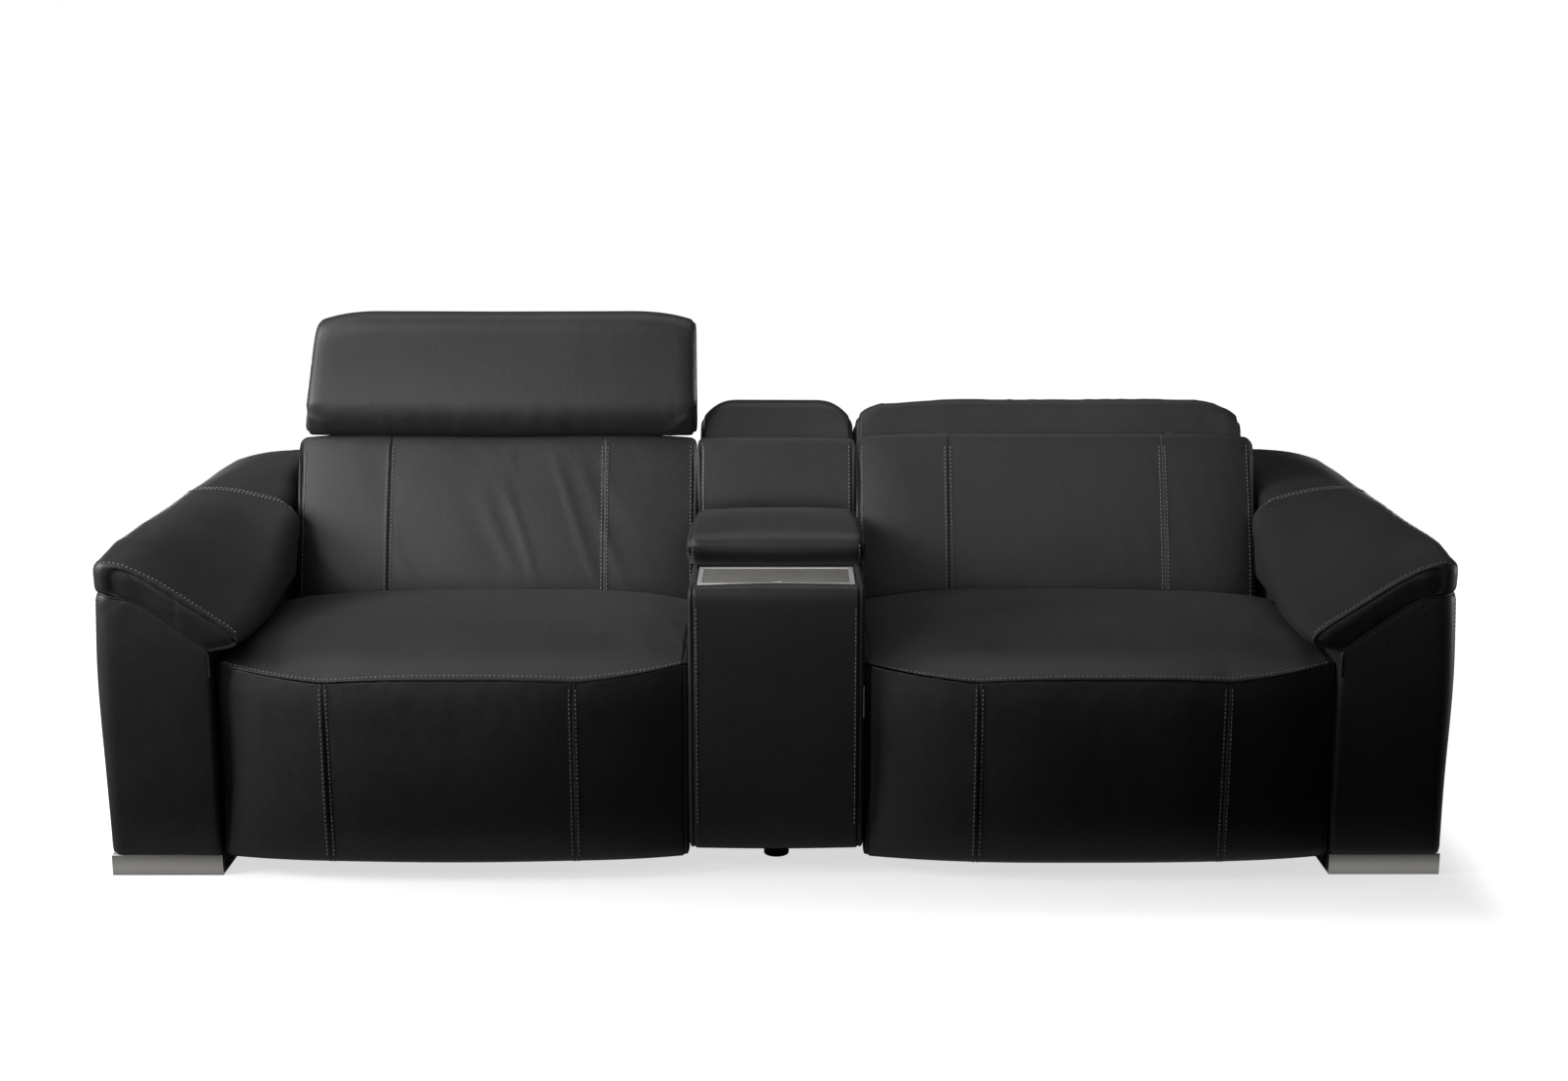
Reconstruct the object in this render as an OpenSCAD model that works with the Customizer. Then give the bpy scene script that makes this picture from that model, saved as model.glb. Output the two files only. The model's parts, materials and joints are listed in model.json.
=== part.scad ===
/* [Overall] */
// Width over both arms
sofa_w = 2580; // [2500:20:2680]
// Width of one arm
arm_w = 220; // [200:5:240]
// Width of the console between the seats
console_w = 336; // [320:2:360]
// Clearance between a seat and the arm or console beside it
seat_gap = 8; // [6:1:12]
// Height of the feet, which is where the upholstery starts
foot_h = 42; // [36:1:46]
// Reach of the arms ahead of the body's middle
arm_front = 505; // [500:1:510]
// Reach of the arms behind the body's middle
arm_rear = 490; // [486:1:510]

/* [Feet] */
// Width of a front foot
front_foot_w = 215; // [160:5:215]
// Depth of a front foot
front_foot_d = 110; // [70:5:160]
// Diameter of a round rear or middle foot
round_foot_d = 50; // [35:1:70]

/* [Arms] */
// Height of the arm body at its outer edge
arm_outer_z = 562; // [550:1:572]
// Height of the arm body at its inner edge, in front
arm_inner_z = 450; // [444:1:456]
// Height of the arm body at its inner edge, behind
arm_inner_rear_z = 600; // [585:1:612]
// Rise of the arm's top over a straight line between its edges, in front
arm_crown = 44; // [20:1:48]
// Height of the pad's outer top edge
pad_outer_z = 628; // [616:1:636]
// Height of the pad's inner edge, in front
pad_inner_z = 478; // [472:1:486]
// Height of the pad's inner edge, behind
pad_inner_rear_z = 692; // [676:1:700]
// Overhang of the pad over the seat
pad_overhang = 60; // [40:1:64]
// Width of the wooden box inside an arm
arm_box_w = 160; // [140:2:166]
// Top of the wooden box inside an arm
arm_box_top = 400; // [360:5:410]
// Thickness of the boards
board_t = 18; // [15:1:20]

/* [Base] */
// Height of the two rails under the body
rail_h = 25; // [20:1:28]
// Depth of the two rails under the body
rail_d = 40; // [30:1:50]
// Place of the front rail ahead of the middle
rail_front = 380; // [370:1:385]
// Place of the rear rail behind the middle
rail_rear = 220; // [190:1:225]
// Height of a glide channel
channel_h = 40; // [24:1:42]
// Wall of a glide channel
channel_wall = 4; // [2.5:0.5:5]

/* [Seat] */
// Reach of the seat's front edge ahead of the middle
seat_front = 545; // [542:1:548]
// How far the front corners sit behind the front edge
corner_recess = 70; // [66:1:76]
// Rear end of the seat cushion behind the middle
seat_rear = 43; // [38:1:44]
// Height of the seat's crown
seat_top_z = 456; // [450:1:462]
// Fall of the seat's top towards its sides
seat_side_fall = 32; // [26:1:38]
// Underside of the seat cushion
seat_under_z = 345; // [340:1:352]
// Height of the front seam at the middle
seam_z = 404; // [400:1:406]
// Fall of the front seam at the two panel seams
seam_dip = 8; // [0:1:8]
// Rise of the front seam at the corners
seam_rise = 14; // [6:1:18]
// Distance of a panel seam from the seat's middle
panel_seam_x = 235; // [215:1:250]
// Thickness of the plywood seat deck
deck_t = 12; // [9:1:15]
// Thickness of the plywood side frames
side_t = 20; // [16:1:22]

/* [Footrest] */
// Bottom of the footrest panel above the floor
footrest_z = 34; // [32:1:44]
// Plane between the footrest's pad and its board, ahead of the middle
footrest_back = 450; // [448:1:452]
// Thickness of the footrest's board
footrest_board_t = 15; // [12:1:15]
// Hinge axis behind the footrest's front face
hinge_inset = 9; // [8.5:0.5:9.5]
// Forward swell of the footrest's face
footrest_swell = 10; // [4:1:12]
// Angle between closed and open
footrest_swing = 84; // [70:1:84]
// Distance of the lever pin from the hinge axis
lever_r = 238; // [236:1:240]
// Width of one hinge
hinge_w = 60; // [50:2:64]
// Distance between neighbouring hinges
hinge_pitch = 108; // [90:2:112]
// Diameter of a hinge barrel
barrel_d = 11; // [10:0.5:11]
// Diameter of a hinge pin
hinge_pin_d = 5; // [4:0.5:6]

/* [Back] */
// Recline pivot behind the middle
pivot_y = 240; // [238:1:242]
// Height of the recline pivot
pivot_z = 270; // [268:1:272]
// Diameter of the recline pivot pin
pivot_d = 12; // [10:0.5:14]
// Foremost point of the back cushion behind the middle
back_face_y = 50; // [49:1:54]
// Lean of the back cushion's face, from foremost point to top
back_lean = 128; // [124:1:132]
// Height of the back cushion's top
back_top_z = 748; // [744:1:749]
// Bottom of the back cushion
back_low_z = 288; // [287:1:296]
// Rear plane of the back cushion
back_rear_y = 204; // [203:0.5:204.5]
// Angle between upright and reclined
recline_swing = 30; // [20:1:30]
// Travel of the seat at full recline
glide_travel = 60; // [40:1:60]
// Wall of the back's rear shell
shell_wall = 12; // [9:1:13]
// Bottom edge of the rear shell
shell_low_z = 192; // [190:1:200]
// Distance of the recline lever's pin from the pivot
recline_lever_r = 130; // [126:1:132]

/* [Headrest] */
// Height of a headrest
headrest_h = 264; // [250:1:266]
// Thickness of a headrest
headrest_t = 118; // [112:1:120]
// Underside of a raised headrest
headrest_z = 759; // [759:1:764]
// Front of a raised headrest
headrest_y = 147; // [146:1:150]
// Slant of a headrest's outer end
headrest_slant = 36; // [0:1:44]
// Headrest pivot behind the middle
head_pivot_y = 221; // [220.5:0.5:221.5]
// Height of the headrest pivot
head_pivot_z = 747; // [746:1:747]
// Diameter of the headrest pivot pin
head_pin_d = 8; // [7:0.5:9]
// Angle between raised and lowered
headrest_swing = 105; // [90:1:105]

/* [Console] */
// Top of the console's box
console_top_z = 565; // [562:1:568]
// Rear end of the console's box
console_rear = 470; // [466:1:474]
// Width of the storage bin's inside
bin_w = 228; // [200:2:236]
// Length of the storage bin's inside
bin_l = 230; // [200:5:236]
// Front of the storage bin's inside ahead of the middle
bin_front = 272; // [268:1:276]
// Floor of the storage bin
bin_floor_z = 260; // [255:5:330]
// Wall of the storage bin
bin_wall = 4; // [3:0.5:5]
// Height of the armrest pad's crown above its board
lid_crown = 64; // [54:1:68]
// Front of the armrest pad ahead of the middle
lid_front = 303; // [300:1:306]
// Armrest hinge behind the middle
lid_hinge_y = 98; // [95:1:100]
// Thickness of the armrest's board
lid_board_t = 10; // [9:1:12]
// Angle between closed and open armrest
lid_swing = 80; // [60:1:80]
// Width of the metal tray
tray_w = 300; // [284:2:306]
// Front of the metal tray ahead of the middle
tray_front = 470; // [468:1:472]
// Length of the metal tray
tray_l = 142; // [138:1:146]
// Width of the tray frame's border
tray_border = 9; // [8:0.5:10]
// Thickness of the tray's flap
flap_t = 5; // [4.5:0.5:6]
// Diameter of a cup well
cup_d = 82; // [74:1:86]
// Depth of a cup well
cup_depth = 62; // [50:1:70]
// Length of a rocker switch
rocker_l = 34; // [28:1:36]
// Width of a rocker switch
rocker_w = 20; // [16:1:22]
// Tilt of a rocker switch to either side
rocker_tilt = 8; // [5:1:9]

/* [Hidden] */
// Fineness of round parts
$fn = 48;
// Clearance between parts that lie against each other
rest_gap = 0.3;
// Radial clearance of a pin in its bore
run_gap = 0.05;
// Side clearance of moving plates
side_gap = 0.5;
LEFT = -1;
RIGHT = 1;

leather = [0.11, 0.11, 0.12];
wood = [0.78, 0.62, 0.42];
steel = [0.55, 0.57, 0.6];
plastic = [0.09, 0.09, 0.1];
nickel = [0.72, 0.7, 0.67];

console_hw = console_w / 2;
arm_in = sofa_w / 2 - arm_w;
arm_out = sofa_w / 2;
seat_hw = (arm_in - console_hw) / 2 - seat_gap;
seat_x = (arm_in + console_hw) / 2;
seam_u = panel_seam_x / seat_hw;
// The back is narrower than the seat, more so beside the arm
back_inner = seat_hw - 2;
back_outer = seat_hw - 20;
back_hw = (back_inner + back_outer) / 2;
back_x = (back_outer - back_inner) / 2;
// The side frames run just inside the back's shell
side_out = back_outer - shell_wall - 6;
side_in = side_out - side_t;
deck_top = seat_under_z - rest_gap;
frame_top = deck_top - deck_t;
rail_top = foot_h + rail_h;
side_low = rail_top + channel_wall + rest_gap;
frame_front = footrest_back - footrest_board_t - 5;
// Footrest hinge axis
hinge_y = -seat_front + hinge_inset;
hinge_z = seam_z - hinge_inset - 1;
// Linear travel of a rod whose slot follows a pin on a circle, over a swing to both sides of the vertical
function rod_travel(r, swing) = 2 * r * (1 - pow(swing * PI / 360, 2) / 8) * swing * PI / 360;
// Half width of that slot beside its pin
function slot_slack(r, swing) = r * pow(swing * PI / 360, 3) / 20 + 0.6;
footrest_rod_travel = rod_travel(lever_r, footrest_swing);
recline_rod_travel = rod_travel(recline_lever_r, recline_swing);
footrest_pin = [hinge_y + lever_r * sin(footrest_swing / 2), hinge_z - lever_r * cos(footrest_swing / 2)];
recline_pin = [pivot_y + recline_lever_r * sin(recline_swing / 2),
    pivot_z - recline_lever_r * cos(recline_swing / 2)];
lever_pin_d = 8;
rod_d = 22;
// Distances of the footrest and recline drives from the seat's middle
footrest_drive_x = -90;
recline_drive_x = 90;
hinge_xs = [-hinge_pitch, 0, hinge_pitch];
headrest_arm_xs = [-250, 250];
head_board_t = 14;
bin_rear = bin_l - bin_front;
lid_low = console_top_z + bin_wall - 0.4 + rest_gap;
lid_top = lid_low + lid_board_t;
lid_axis_z = lid_low + lid_board_t / 2;
tray_rear = tray_l - tray_front;
tray_plate_t = 3;
flap_axis_z = console_top_z + tray_plate_t + rest_gap + flap_t / 2;
// Depth of the whole sofa is centred on the origin
shell_rear = 500;
front_reach = seat_front + footrest_swell * 0.71;
centre_y = (front_reach - shell_rear) / 2;

// Shared helpers

module place() {
    translate([0, centre_y, 0]) children();
}

// Turns a piece of the right-hand side into one of either side
module on_side(side) {
    if (side == LEFT) mirror([1, 0, 0]) children();
    else children();
}

module at_seat(side) {
    on_side(side) translate([seat_x, 0, 0]) children();
}

// A flat outline in Y and Z, extruded along X from x
module slab(x, w) {
    translate([x, 0, 0]) rotate([90, 0, 90]) linear_extrude(w) children();
}

// A box between two corners
module block(a, b) {
    translate(a) cube(b - a);
}

// A round bar along X
module bar(x, w, y, z, d) {
    translate([x, y, z]) rotate([0, 90, 0]) cylinder(d = d, h = w);
}

// A round bar along Y
module bar_y(x, y, z, d, l) {
    translate([x, y, z]) rotate([-90, 0, 0]) cylinder(d = d, h = l);
}

function smooth(t) = let (c = min(max(t, 0), 1)) c * c * (3 - 2 * c);

// Points of a closed outline whose corners [y, z, cut, steps] are rounded over a cut length
function rounded(c) = [for (i = [0:len(c) - 1])
    let (p = [c[i][0], c[i][1]],
        a = c[(i + len(c) - 1) % len(c)],
        b = c[(i + 1) % len(c)],
        u = [a[0], a[1]] - p,
        v = [b[0], b[1]] - p,
        p0 = p + u * min(c[i][2], norm(u) * 0.49) / norm(u),
        p1 = p + v * min(c[i][2], norm(v) * 0.49) / norm(v),
        n = c[i][3])
    each [for (k = [0:n]) let (t = n == 0 ? 0.5 : k / n)
        p0 * (1 - t) * (1 - t) + p * 2 * t * (1 - t) + p1 * t * t]];

function mean(v, k) = let (s = [for (p = v) p[k]]) s * [for (p = v) 1] / len(v);

// Shrinks an outline towards its middle by about d on every side
function shrunk(o, d) = let (lo = [min([for (p = o) p[0]]), min([for (p = o) p[1]])],
    hi = [max([for (p = o) p[0]]), max([for (p = o) p[1]])],
    mid = (lo + hi) / 2,
    half = (hi - lo) / 2)
    [for (p = o) [mid[0] + (p[0] - mid[0]) * (1 - d / half[0]), mid[1] + (p[1] - mid[1]) * (1 - d / half[1])]];

// How much an outline shrinks at a distance x from the middle, for ends rounded by r
function end_cut(x, half, r) = let (e = max(abs(x) - half + r, 0)) r - sqrt(max(r * r - e * e, 0));

// A closed form through rings of points, with its end faces drawn in by dent along the run
module loft(rings, dent = [0, 0, 0]) {
    n = len(rings[0]);
    m = len(rings);
    first = [mean(rings[0], 0), mean(rings[0], 1), mean(rings[0], 2)] + dent;
    last = [mean(rings[m - 1], 0), mean(rings[m - 1], 1), mean(rings[m - 1], 2)] - dent;
    polyhedron(
        points = [for (r = rings) each r, first, last],
        faces = [
            for (i = [0:m - 2]) for (k = [0:n - 1]) let (a = i * n + k, b = i * n + (k + 1) % n)
                each [[a, b, b + n], [a, b + n, a + n]],
            for (k = [0:n - 1]) [m * n, (k + 1) % n, k],
            for (k = [0:n - 1]) [m * n + 1, (m - 1) * n + k, (m - 1) * n + (k + 1) % n]
        ]);
}

// Stations of a cushion along its width, as shares of its half width
function stations(half, r, seam) = let (
    side = [seam / 2, seam, (seam + 1) / 2, 1 - r * 1.1 / half, 1 - r * 0.45 / half, 1 - r * 0.12 / half, 1])
    [for (i = [6:-1:0]) -side[i], 0, for (i = [0:6]) side[i]];

// Puff between sewn seams: 1 in the middle of each panel, 0 on a seam
function puff(u, seam) = let (a = abs(u), t = a < seam ? a / seam : (1 - a) / (1 - seam))
    a < seam ? 1 - pow(t, 4) : 1 - pow(1 - t, 4);

// Feet and base

module front_feet() {
    x0 = (arm_in + arm_out - front_foot_w) / 2 - 0.5;
    color(nickel) for (side = [LEFT, RIGHT]) on_side(side)
        block([x0, -arm_front + 5, 0], [x0 + front_foot_w, -arm_front + 5 + front_foot_d, foot_h]);
}

module round_feet() {
    color(plastic) {
        for (side = [LEFT, RIGHT]) on_side(side)
            translate([(arm_in + arm_out) / 2, arm_rear - 70, 0]) cylinder(d = round_foot_d, h = foot_h);
        for (y = [-rail_front, rail_rear]) translate([0, y, 0]) cylinder(d = round_foot_d, h = foot_h);
    }
}

// Inner and outer faces of the hollow in an arm, as distances from the sofa's middle
arm_hollow_in = (arm_in + arm_out - arm_box_w) / 2;
arm_hollow_out = arm_hollow_in + arm_box_w;
arm_hollow_front = -arm_front + 35;
arm_hollow_rear = arm_rear - 30;

module rail_outline(grow) {
    half = arm_hollow_in - (grow > 0 ? 0 : rest_gap);
    for (y = [-rail_front, rail_rear])
        block([-half, y - rail_d / 2 - grow, foot_h - grow], [half, y + rail_d / 2 + grow, rail_top + grow]);
}

module base_rails() {
    color(wood) rail_outline(0);
}

channel_mid = (side_in + side_out) / 2;
channel_hw = side_t / 2 + rest_gap + channel_wall;
// A pin through each side frame runs in a slot of its channel and stops the glide
stop_pin_d = 10;
stop_pin_y = -150;
stop_pin_z = rail_top + (channel_h + channel_wall) / 2;
stop_slot_h = stop_pin_d + 1;
// Radius of a side frame's end round the recline pivot
pivot_boss_r = 26;

module glide_channels() {
    color(steel) for (side = [LEFT, RIGHT]) at_seat(side) for (e = [-1, 1]) translate([e * channel_mid, 0, 0])
        difference() {
            block([-channel_hw, -frame_front + 5, rail_top],
                [channel_hw, pivot_y + pivot_boss_r, rail_top + channel_h]);
            block([-channel_hw + channel_wall, -frame_front, rail_top + channel_wall],
                [channel_hw - channel_wall, pivot_y + 30, rail_top + channel_h + 1]);
            block([-channel_hw - 1, stop_pin_y - glide_travel - stop_slot_h / 2, stop_pin_z - stop_slot_h / 2],
                [channel_hw + 1, stop_pin_y + stop_slot_h / 2, stop_pin_z + stop_slot_h / 2]);
        }
}

// Arms

// Run of the arm from the front, 0, to where its inner edge has risen, 1
function arm_rise(y) = smooth((y + 300) / 620);
function arm_top_in(y) = arm_inner_z + (arm_inner_rear_z - arm_inner_z) * arm_rise(y);
arm_mid_x = (arm_in + arm_out) / 2 + 20;
function arm_top_mid(y) = (arm_outer_z + arm_top_in(y)) / 2 + arm_crown * (1 - 0.7 * arm_rise(y));
// Stations along the rise of the arm's inner edge
rise_ys = [-300, -225, -150, -75, 0, 75, 150, 225, 320];
arm_ys = [-arm_front, -arm_front + 2, -arm_front + 10, -400, each rise_ys, 400, arm_rear - 10, arm_rear - 2, arm_rear];

function arm_ring(y) = let (
    cut = y < 0 ? end_cut(y, arm_front, 10) : end_cut(y, arm_rear, 10),
    o = rounded([
        [arm_in + 2, foot_h, 6, 1],
        [arm_out - 3, foot_h, 6, 1],
        [arm_out, arm_outer_z, 10, 2],
        [arm_mid_x, arm_top_mid(y), 70, 2],
        [arm_in, arm_top_in(y), 10, 2]
    ]))
    [for (p = shrunk(o, cut)) [p[0], y, max(p[1], foot_h)]];

module arm_form() {
    loft([for (y = arm_ys) arm_ring(y)]);
}

module arm_body(side) {
    color(leather) on_side(side) difference() {
        arm_form();
        block([arm_hollow_in, arm_hollow_front, foot_h - 1], [arm_hollow_out, arm_hollow_rear, arm_box_top]);
        rail_outline(rest_gap);
    }
}

module arm_frame(side) {
    a = [arm_hollow_in + rest_gap, arm_hollow_front + rest_gap, foot_h];
    b = [arm_hollow_out - rest_gap, arm_hollow_rear - rest_gap, arm_box_top - rest_gap];
    color(wood) on_side(side) difference() {
        block(a, b);
        block(a + [board_t, board_t, -1], b - [board_t, board_t, board_t]);
    }
}

// Where the pad's inner edge begins to draw back beside the seat's back, and how far that takes
pad_notch_y = 68;
pad_notch_run = 42;
// Overhang of the pad that stays beside the seat's back
pad_side = 14;

// The pad's inner edge overhangs the seat in front and draws back beside the seat's back
function pad_notch(y) = smooth((y - pad_notch_y) / pad_notch_run);
function pad_in(y) = arm_in - pad_overhang * (1 - pad_notch(y)) - pad_side * pad_notch(y) * (1 - smooth((y - 150) / 120));
function pad_inner_top(y) = pad_inner_z + (pad_inner_rear_z - pad_inner_z) * smooth((y + 420) / 820);
function pad_outer_top(y) = pad_outer_z + 16 * arm_rise(y);

pad_front = arm_front + 8;
// Depth by which the pad's form reaches into the arm before the arm's top is cut out of it
pad_sunk = 7;

function pad_ring(y) = let (
    e = y < 0 ? end_cut(y, pad_front, 26) : end_cut(y, arm_rear, 30),
    mid_top = (pad_outer_top(y) + pad_inner_top(y)) / 2 + 20 + 36 * (1 - arm_rise(y)),
    low_in = arm_top_in(y) - (arm_in - pad_in(y)) * 0.1 + rest_gap,
    o = rounded([
        [arm_out + 3, arm_outer_z + 3, 3, 1],
        [arm_out + 3, pad_outer_top(y) - e, 30, 3],
        [arm_mid_x, mid_top - e * 0.9, 80, 3],
        [pad_in(y), pad_inner_top(y) - e * 0.6, 34, 4],
        [pad_in(y) + 4, low_in, 12, 2],
        [arm_in + 1, arm_top_in(y) - pad_sunk, 1, 0],
        [arm_mid_x, arm_top_mid(y) - pad_sunk - 8, 40, 1],
        [arm_out - 12, arm_outer_z - pad_sunk, 1, 0]
    ]))
    [for (p = o) [p[0], y, p[1]]];

pad_ys = [-pad_front, -pad_front + 2, -pad_front + 8, -pad_front + 20, -420, -300, -225, -150, -75, 0,
    pad_notch_y, pad_notch_y + pad_notch_run * 0.3, pad_notch_y + pad_notch_run * 0.5,
    pad_notch_y + pad_notch_run * 0.7, pad_notch_y + pad_notch_run, 150, 225, 320,
    410, arm_rear - 22, arm_rear - 7, arm_rear];

module arm_pad(side) {
    color(leather) on_side(side) difference() {
        loft([for (y = pad_ys) pad_ring(y)]);
        for (x = [-rest_gap, rest_gap]) for (y = [-rest_gap, rest_gap]) translate([x, y, rest_gap]) arm_form();
    }
}

// Console

switch_y = -355;
switch_z = 500;
switch_l = 92;
switch_h = 34;
rocker_pitch = 44;
// Depth of a rocker's pivot inside the console's side, and height of its face over the pivot
rocker_pivot_in = 5;
rocker_face = 9.5;
rocker_pin_d = 5;
// The window holds the rocker tilted either way
rocker_window = rocker_l * cos(rocker_tilt) + 2 * rocker_face * sin(rocker_tilt) + 1.6;
bin_out_w = bin_w + 2 * bin_wall;
cup_block_w = 260;
cup_block_front = -tray_front + 15;
cup_block_rear = tray_rear - 17;
supply_size = [160, 60, 70];
supply_z = 110;
inlet_z = 145;

module console_hollow() {
    block([-console_hw + board_t, -arm_front + board_t, foot_h - 30],
        [console_hw - board_t, console_rear - board_t, console_top_z - board_t]);
}

module console_body() {
    color(leather) difference() {
        block([-console_hw, -arm_front, rail_top], [console_hw, console_rear, console_top_z]);
        console_hollow();
        block([-bin_out_w / 2 - rest_gap, -bin_front - bin_wall - rest_gap, console_top_z - board_t - 1],
            [bin_out_w / 2 + rest_gap, bin_rear + bin_wall + rest_gap, console_top_z + 1]);
        block([-cup_block_w / 2 - rest_gap, cup_block_front - rest_gap, console_top_z - board_t - 1],
            [cup_block_w / 2 + rest_gap, cup_block_rear + rest_gap, console_top_z + 1]);
        for (side = [LEFT, RIGHT]) on_side(side)
            block([console_hw - board_t - 1, switch_y - switch_l / 2 + 4 - rest_gap, switch_z - switch_h / 2 + 3 - rest_gap],
                [console_hw + 1, switch_y + switch_l / 2 - 4 + rest_gap, switch_z + switch_h / 2 - 3 + rest_gap]);
        block([-13 - rest_gap, console_rear - board_t - 1, inlet_z - 8 - rest_gap],
            [13 + rest_gap, console_rear + 1, inlet_z + 8 + rest_gap]);
    }
}

lug_x = 96;
lug_w = 16;
ear_t = 6;
lid_pin_d = 5;

module console_bin() {
    flange = bin_wall - 0.4;
    color(plastic) difference() {
        union() {
            block([-bin_out_w / 2, -bin_front - bin_wall, bin_floor_z - bin_wall],
                [bin_out_w / 2, bin_rear + bin_wall, console_top_z + flange]);
            block([-bin_out_w / 2 - 8, -bin_front - bin_wall - 8, console_top_z],
                [bin_out_w / 2 + 8, lid_hinge_y + 12, console_top_z + flange]);
            for (x = [-lug_x, lug_x]) {
                for (e = [-1, 1]) slab(x - ear_t / 2 + e * (lug_w / 2 + side_gap + ear_t / 2), ear_t) union() {
                    translate([lid_hinge_y, lid_axis_z]) circle(d = lid_board_t);
                    translate([lid_hinge_y - lid_board_t / 2, console_top_z + 1]) square([lid_board_t, lid_axis_z - console_top_z - 1]);
                }
                bar(x - lug_w / 2 - side_gap - 1, lug_w + 2 * side_gap + 2, lid_hinge_y, lid_axis_z, lid_pin_d);
            }
        }
        block([-bin_w / 2, -bin_front, bin_floor_z], [bin_w / 2, bin_rear, console_top_z + 20]);
    }
}

module console_lid_board() {
    hw = console_hw - 14;
    rear = lid_hinge_y - 11;
    color(leather) difference() {
        union() {
            block([-hw, -lid_front + 10, lid_low], [hw, rear, lid_top]);
            for (x = [-lug_x, lug_x]) {
                bar(x - lug_w / 2, lug_w, lid_hinge_y, lid_axis_z, lid_board_t);
                block([x - lug_w / 2, rear - 1, lid_low], [x + lug_w / 2, lid_hinge_y, lid_top]);
            }
        }
        for (x = [-lug_x, lug_x]) bar(x - lug_w, 2 * lug_w, lid_hinge_y, lid_axis_z, lid_pin_d + 2 * run_gap);
    }
}

function lid_ring(x) = let (
    u = abs(x) / (console_hw + 10),
    crown = lid_top + lid_crown - 14 * pow(u, 3),
    o = rounded([
        [-lid_front, lid_top + rest_gap, 8, 2],
        [-lid_front - 6, lid_top + lid_crown * 0.72, 40, 4],
        [-lid_front + 90, crown + 6, 60, 2],
        [-20, crown - 20, 80, 2],
        [lid_hinge_y - 0.5, lid_top + 26, 16, 3],
        [lid_hinge_y - 0.5, lid_top + rest_gap, 3, 1]
    ]))
    [for (p = shrunk(o, end_cut(x, console_hw + 10, 26)))
        [x * (1 - 0.055 * smooth((p[0] + lid_front) / 340)), p[0], p[1]]];

module console_lid_pad() {
    half = console_hw + 10;
    color(leather) loft([for (u = stations(half, 26, 0.5)) lid_ring(u * half)], [4, 0, 0]);
}

module cup_insert() {
    color(plastic) difference() {
        block([-cup_block_w / 2, cup_block_front, console_top_z - cup_depth - 4],
            [cup_block_w / 2, cup_block_rear, console_top_z - rest_gap]);
        for (x = [-1, 1]) translate([x * cup_block_w / 4, (cup_block_front + cup_block_rear) / 2, console_top_z - cup_depth])
            cylinder(d = cup_d, h = cup_depth + 1);
    }
}

module tray_frame() {
    recess = tray_plate_t;
    top = console_top_z + tray_plate_t + rest_gap + flap_t + 0.7;
    color(nickel) difference() {
        block([-tray_w / 2, -tray_front, console_top_z], [tray_w / 2, tray_rear, top]);
        block([-tray_w / 2 + tray_border, -tray_front + tray_border, console_top_z + recess],
            [tray_w / 2 - tray_border, tray_rear - tray_border, top + 1]);
        for (x = [-1, 1]) translate([x * cup_block_w / 4, (cup_block_front + cup_block_rear) / 2, console_top_z - 1])
            cylinder(d = cup_d + 1, h = 10);
        bar(-tray_w / 2 + 3, tray_w - 6, tray_rear - tray_border - flap_t / 2 - rest_gap, flap_axis_z, 3 + 2 * run_gap);
    }
}

module tray_flap() {
    hw = tray_w / 2 - tray_border - rest_gap;
    y = tray_rear - tray_border - flap_t / 2 - rest_gap;
    color(nickel) {
        difference() {
            union() {
                block([-hw, -tray_front + tray_border + rest_gap, flap_axis_z - flap_t / 2], [hw, y, flap_axis_z + flap_t / 2]);
                bar(-hw, 2 * hw, y, flap_axis_z, flap_t);
            }
            translate([0, -tray_front + tray_border, flap_axis_z - flap_t]) cylinder(d = 22, h = 2 * flap_t);
        }
        for (e = [-1, 1]) bar(e > 0 ? hw - 1 : -hw - 5, 6, y, flap_axis_z, 3);
    }
}

module switch_plates() {
    color(plastic) for (side = [LEFT, RIGHT]) on_side(side) difference() {
        union() {
            block([console_hw, switch_y - switch_l / 2, switch_z - switch_h / 2],
                [console_hw + 3, switch_y + switch_l / 2, switch_z + switch_h / 2]);
            block([console_hw - board_t - 4, switch_y - switch_l / 2 + 4, switch_z - switch_h / 2 + 3],
                [console_hw + 1, switch_y + switch_l / 2 - 4, switch_z + switch_h / 2 - 3]);
        }
        for (e = [-1, 1]) translate([console_hw - rocker_pivot_in, switch_y + e * rocker_pitch / 2, switch_z]) {
            block([-rocker_pivot_in - 4, -rocker_window / 2, -rocker_w / 2 - side_gap],
                [rocker_face, rocker_window / 2, rocker_w / 2 + side_gap]);
            translate([0, 0, -rocker_w / 2 - 3]) cylinder(d = rocker_pin_d + 2 * run_gap, h = rocker_w + 6);
        }
    }
}

module rocker(side, e) {
    h = rocker_l / 2;
    foot = 3;
    stub = 2.6;
    color(plastic) on_side(side) translate([console_hw - rocker_pivot_in, switch_y + e * rocker_pitch / 2, switch_z]) {
        translate([0, 0, -rocker_w / 2]) linear_extrude(rocker_w) polygon([
            [-foot, -h + foot], [-foot, h - foot], [foot, h], [rocker_face, h],
            [rocker_face - 1.5, 0], [rocker_face, -h], [foot, -h]
        ]);
        translate([0, 0, -rocker_w / 2 - stub]) cylinder(d = rocker_pin_d, h = rocker_w + 2 * stub);
    }
}

// The back block and the roll on it follow the lowered headrests beside them
shell_top_front = [head_pivot_y + 1, 690];
shell_top_rear = [shell_rear - 16, 618];
back_board_top = back_top_z - 13;
// How far from a headrest's edges the block under the roll starts and ends
roll_edge = 38;

// A point of a raised headrest, turned with it to the lowered place
function lowered_point(y, z) = let (a = -headrest_swing, dy = y - head_pivot_y, dz = z - head_pivot_z)
    [head_pivot_y + dy * cos(a) - dz * sin(a), head_pivot_z + dy * sin(a) + dz * cos(a)];

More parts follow.
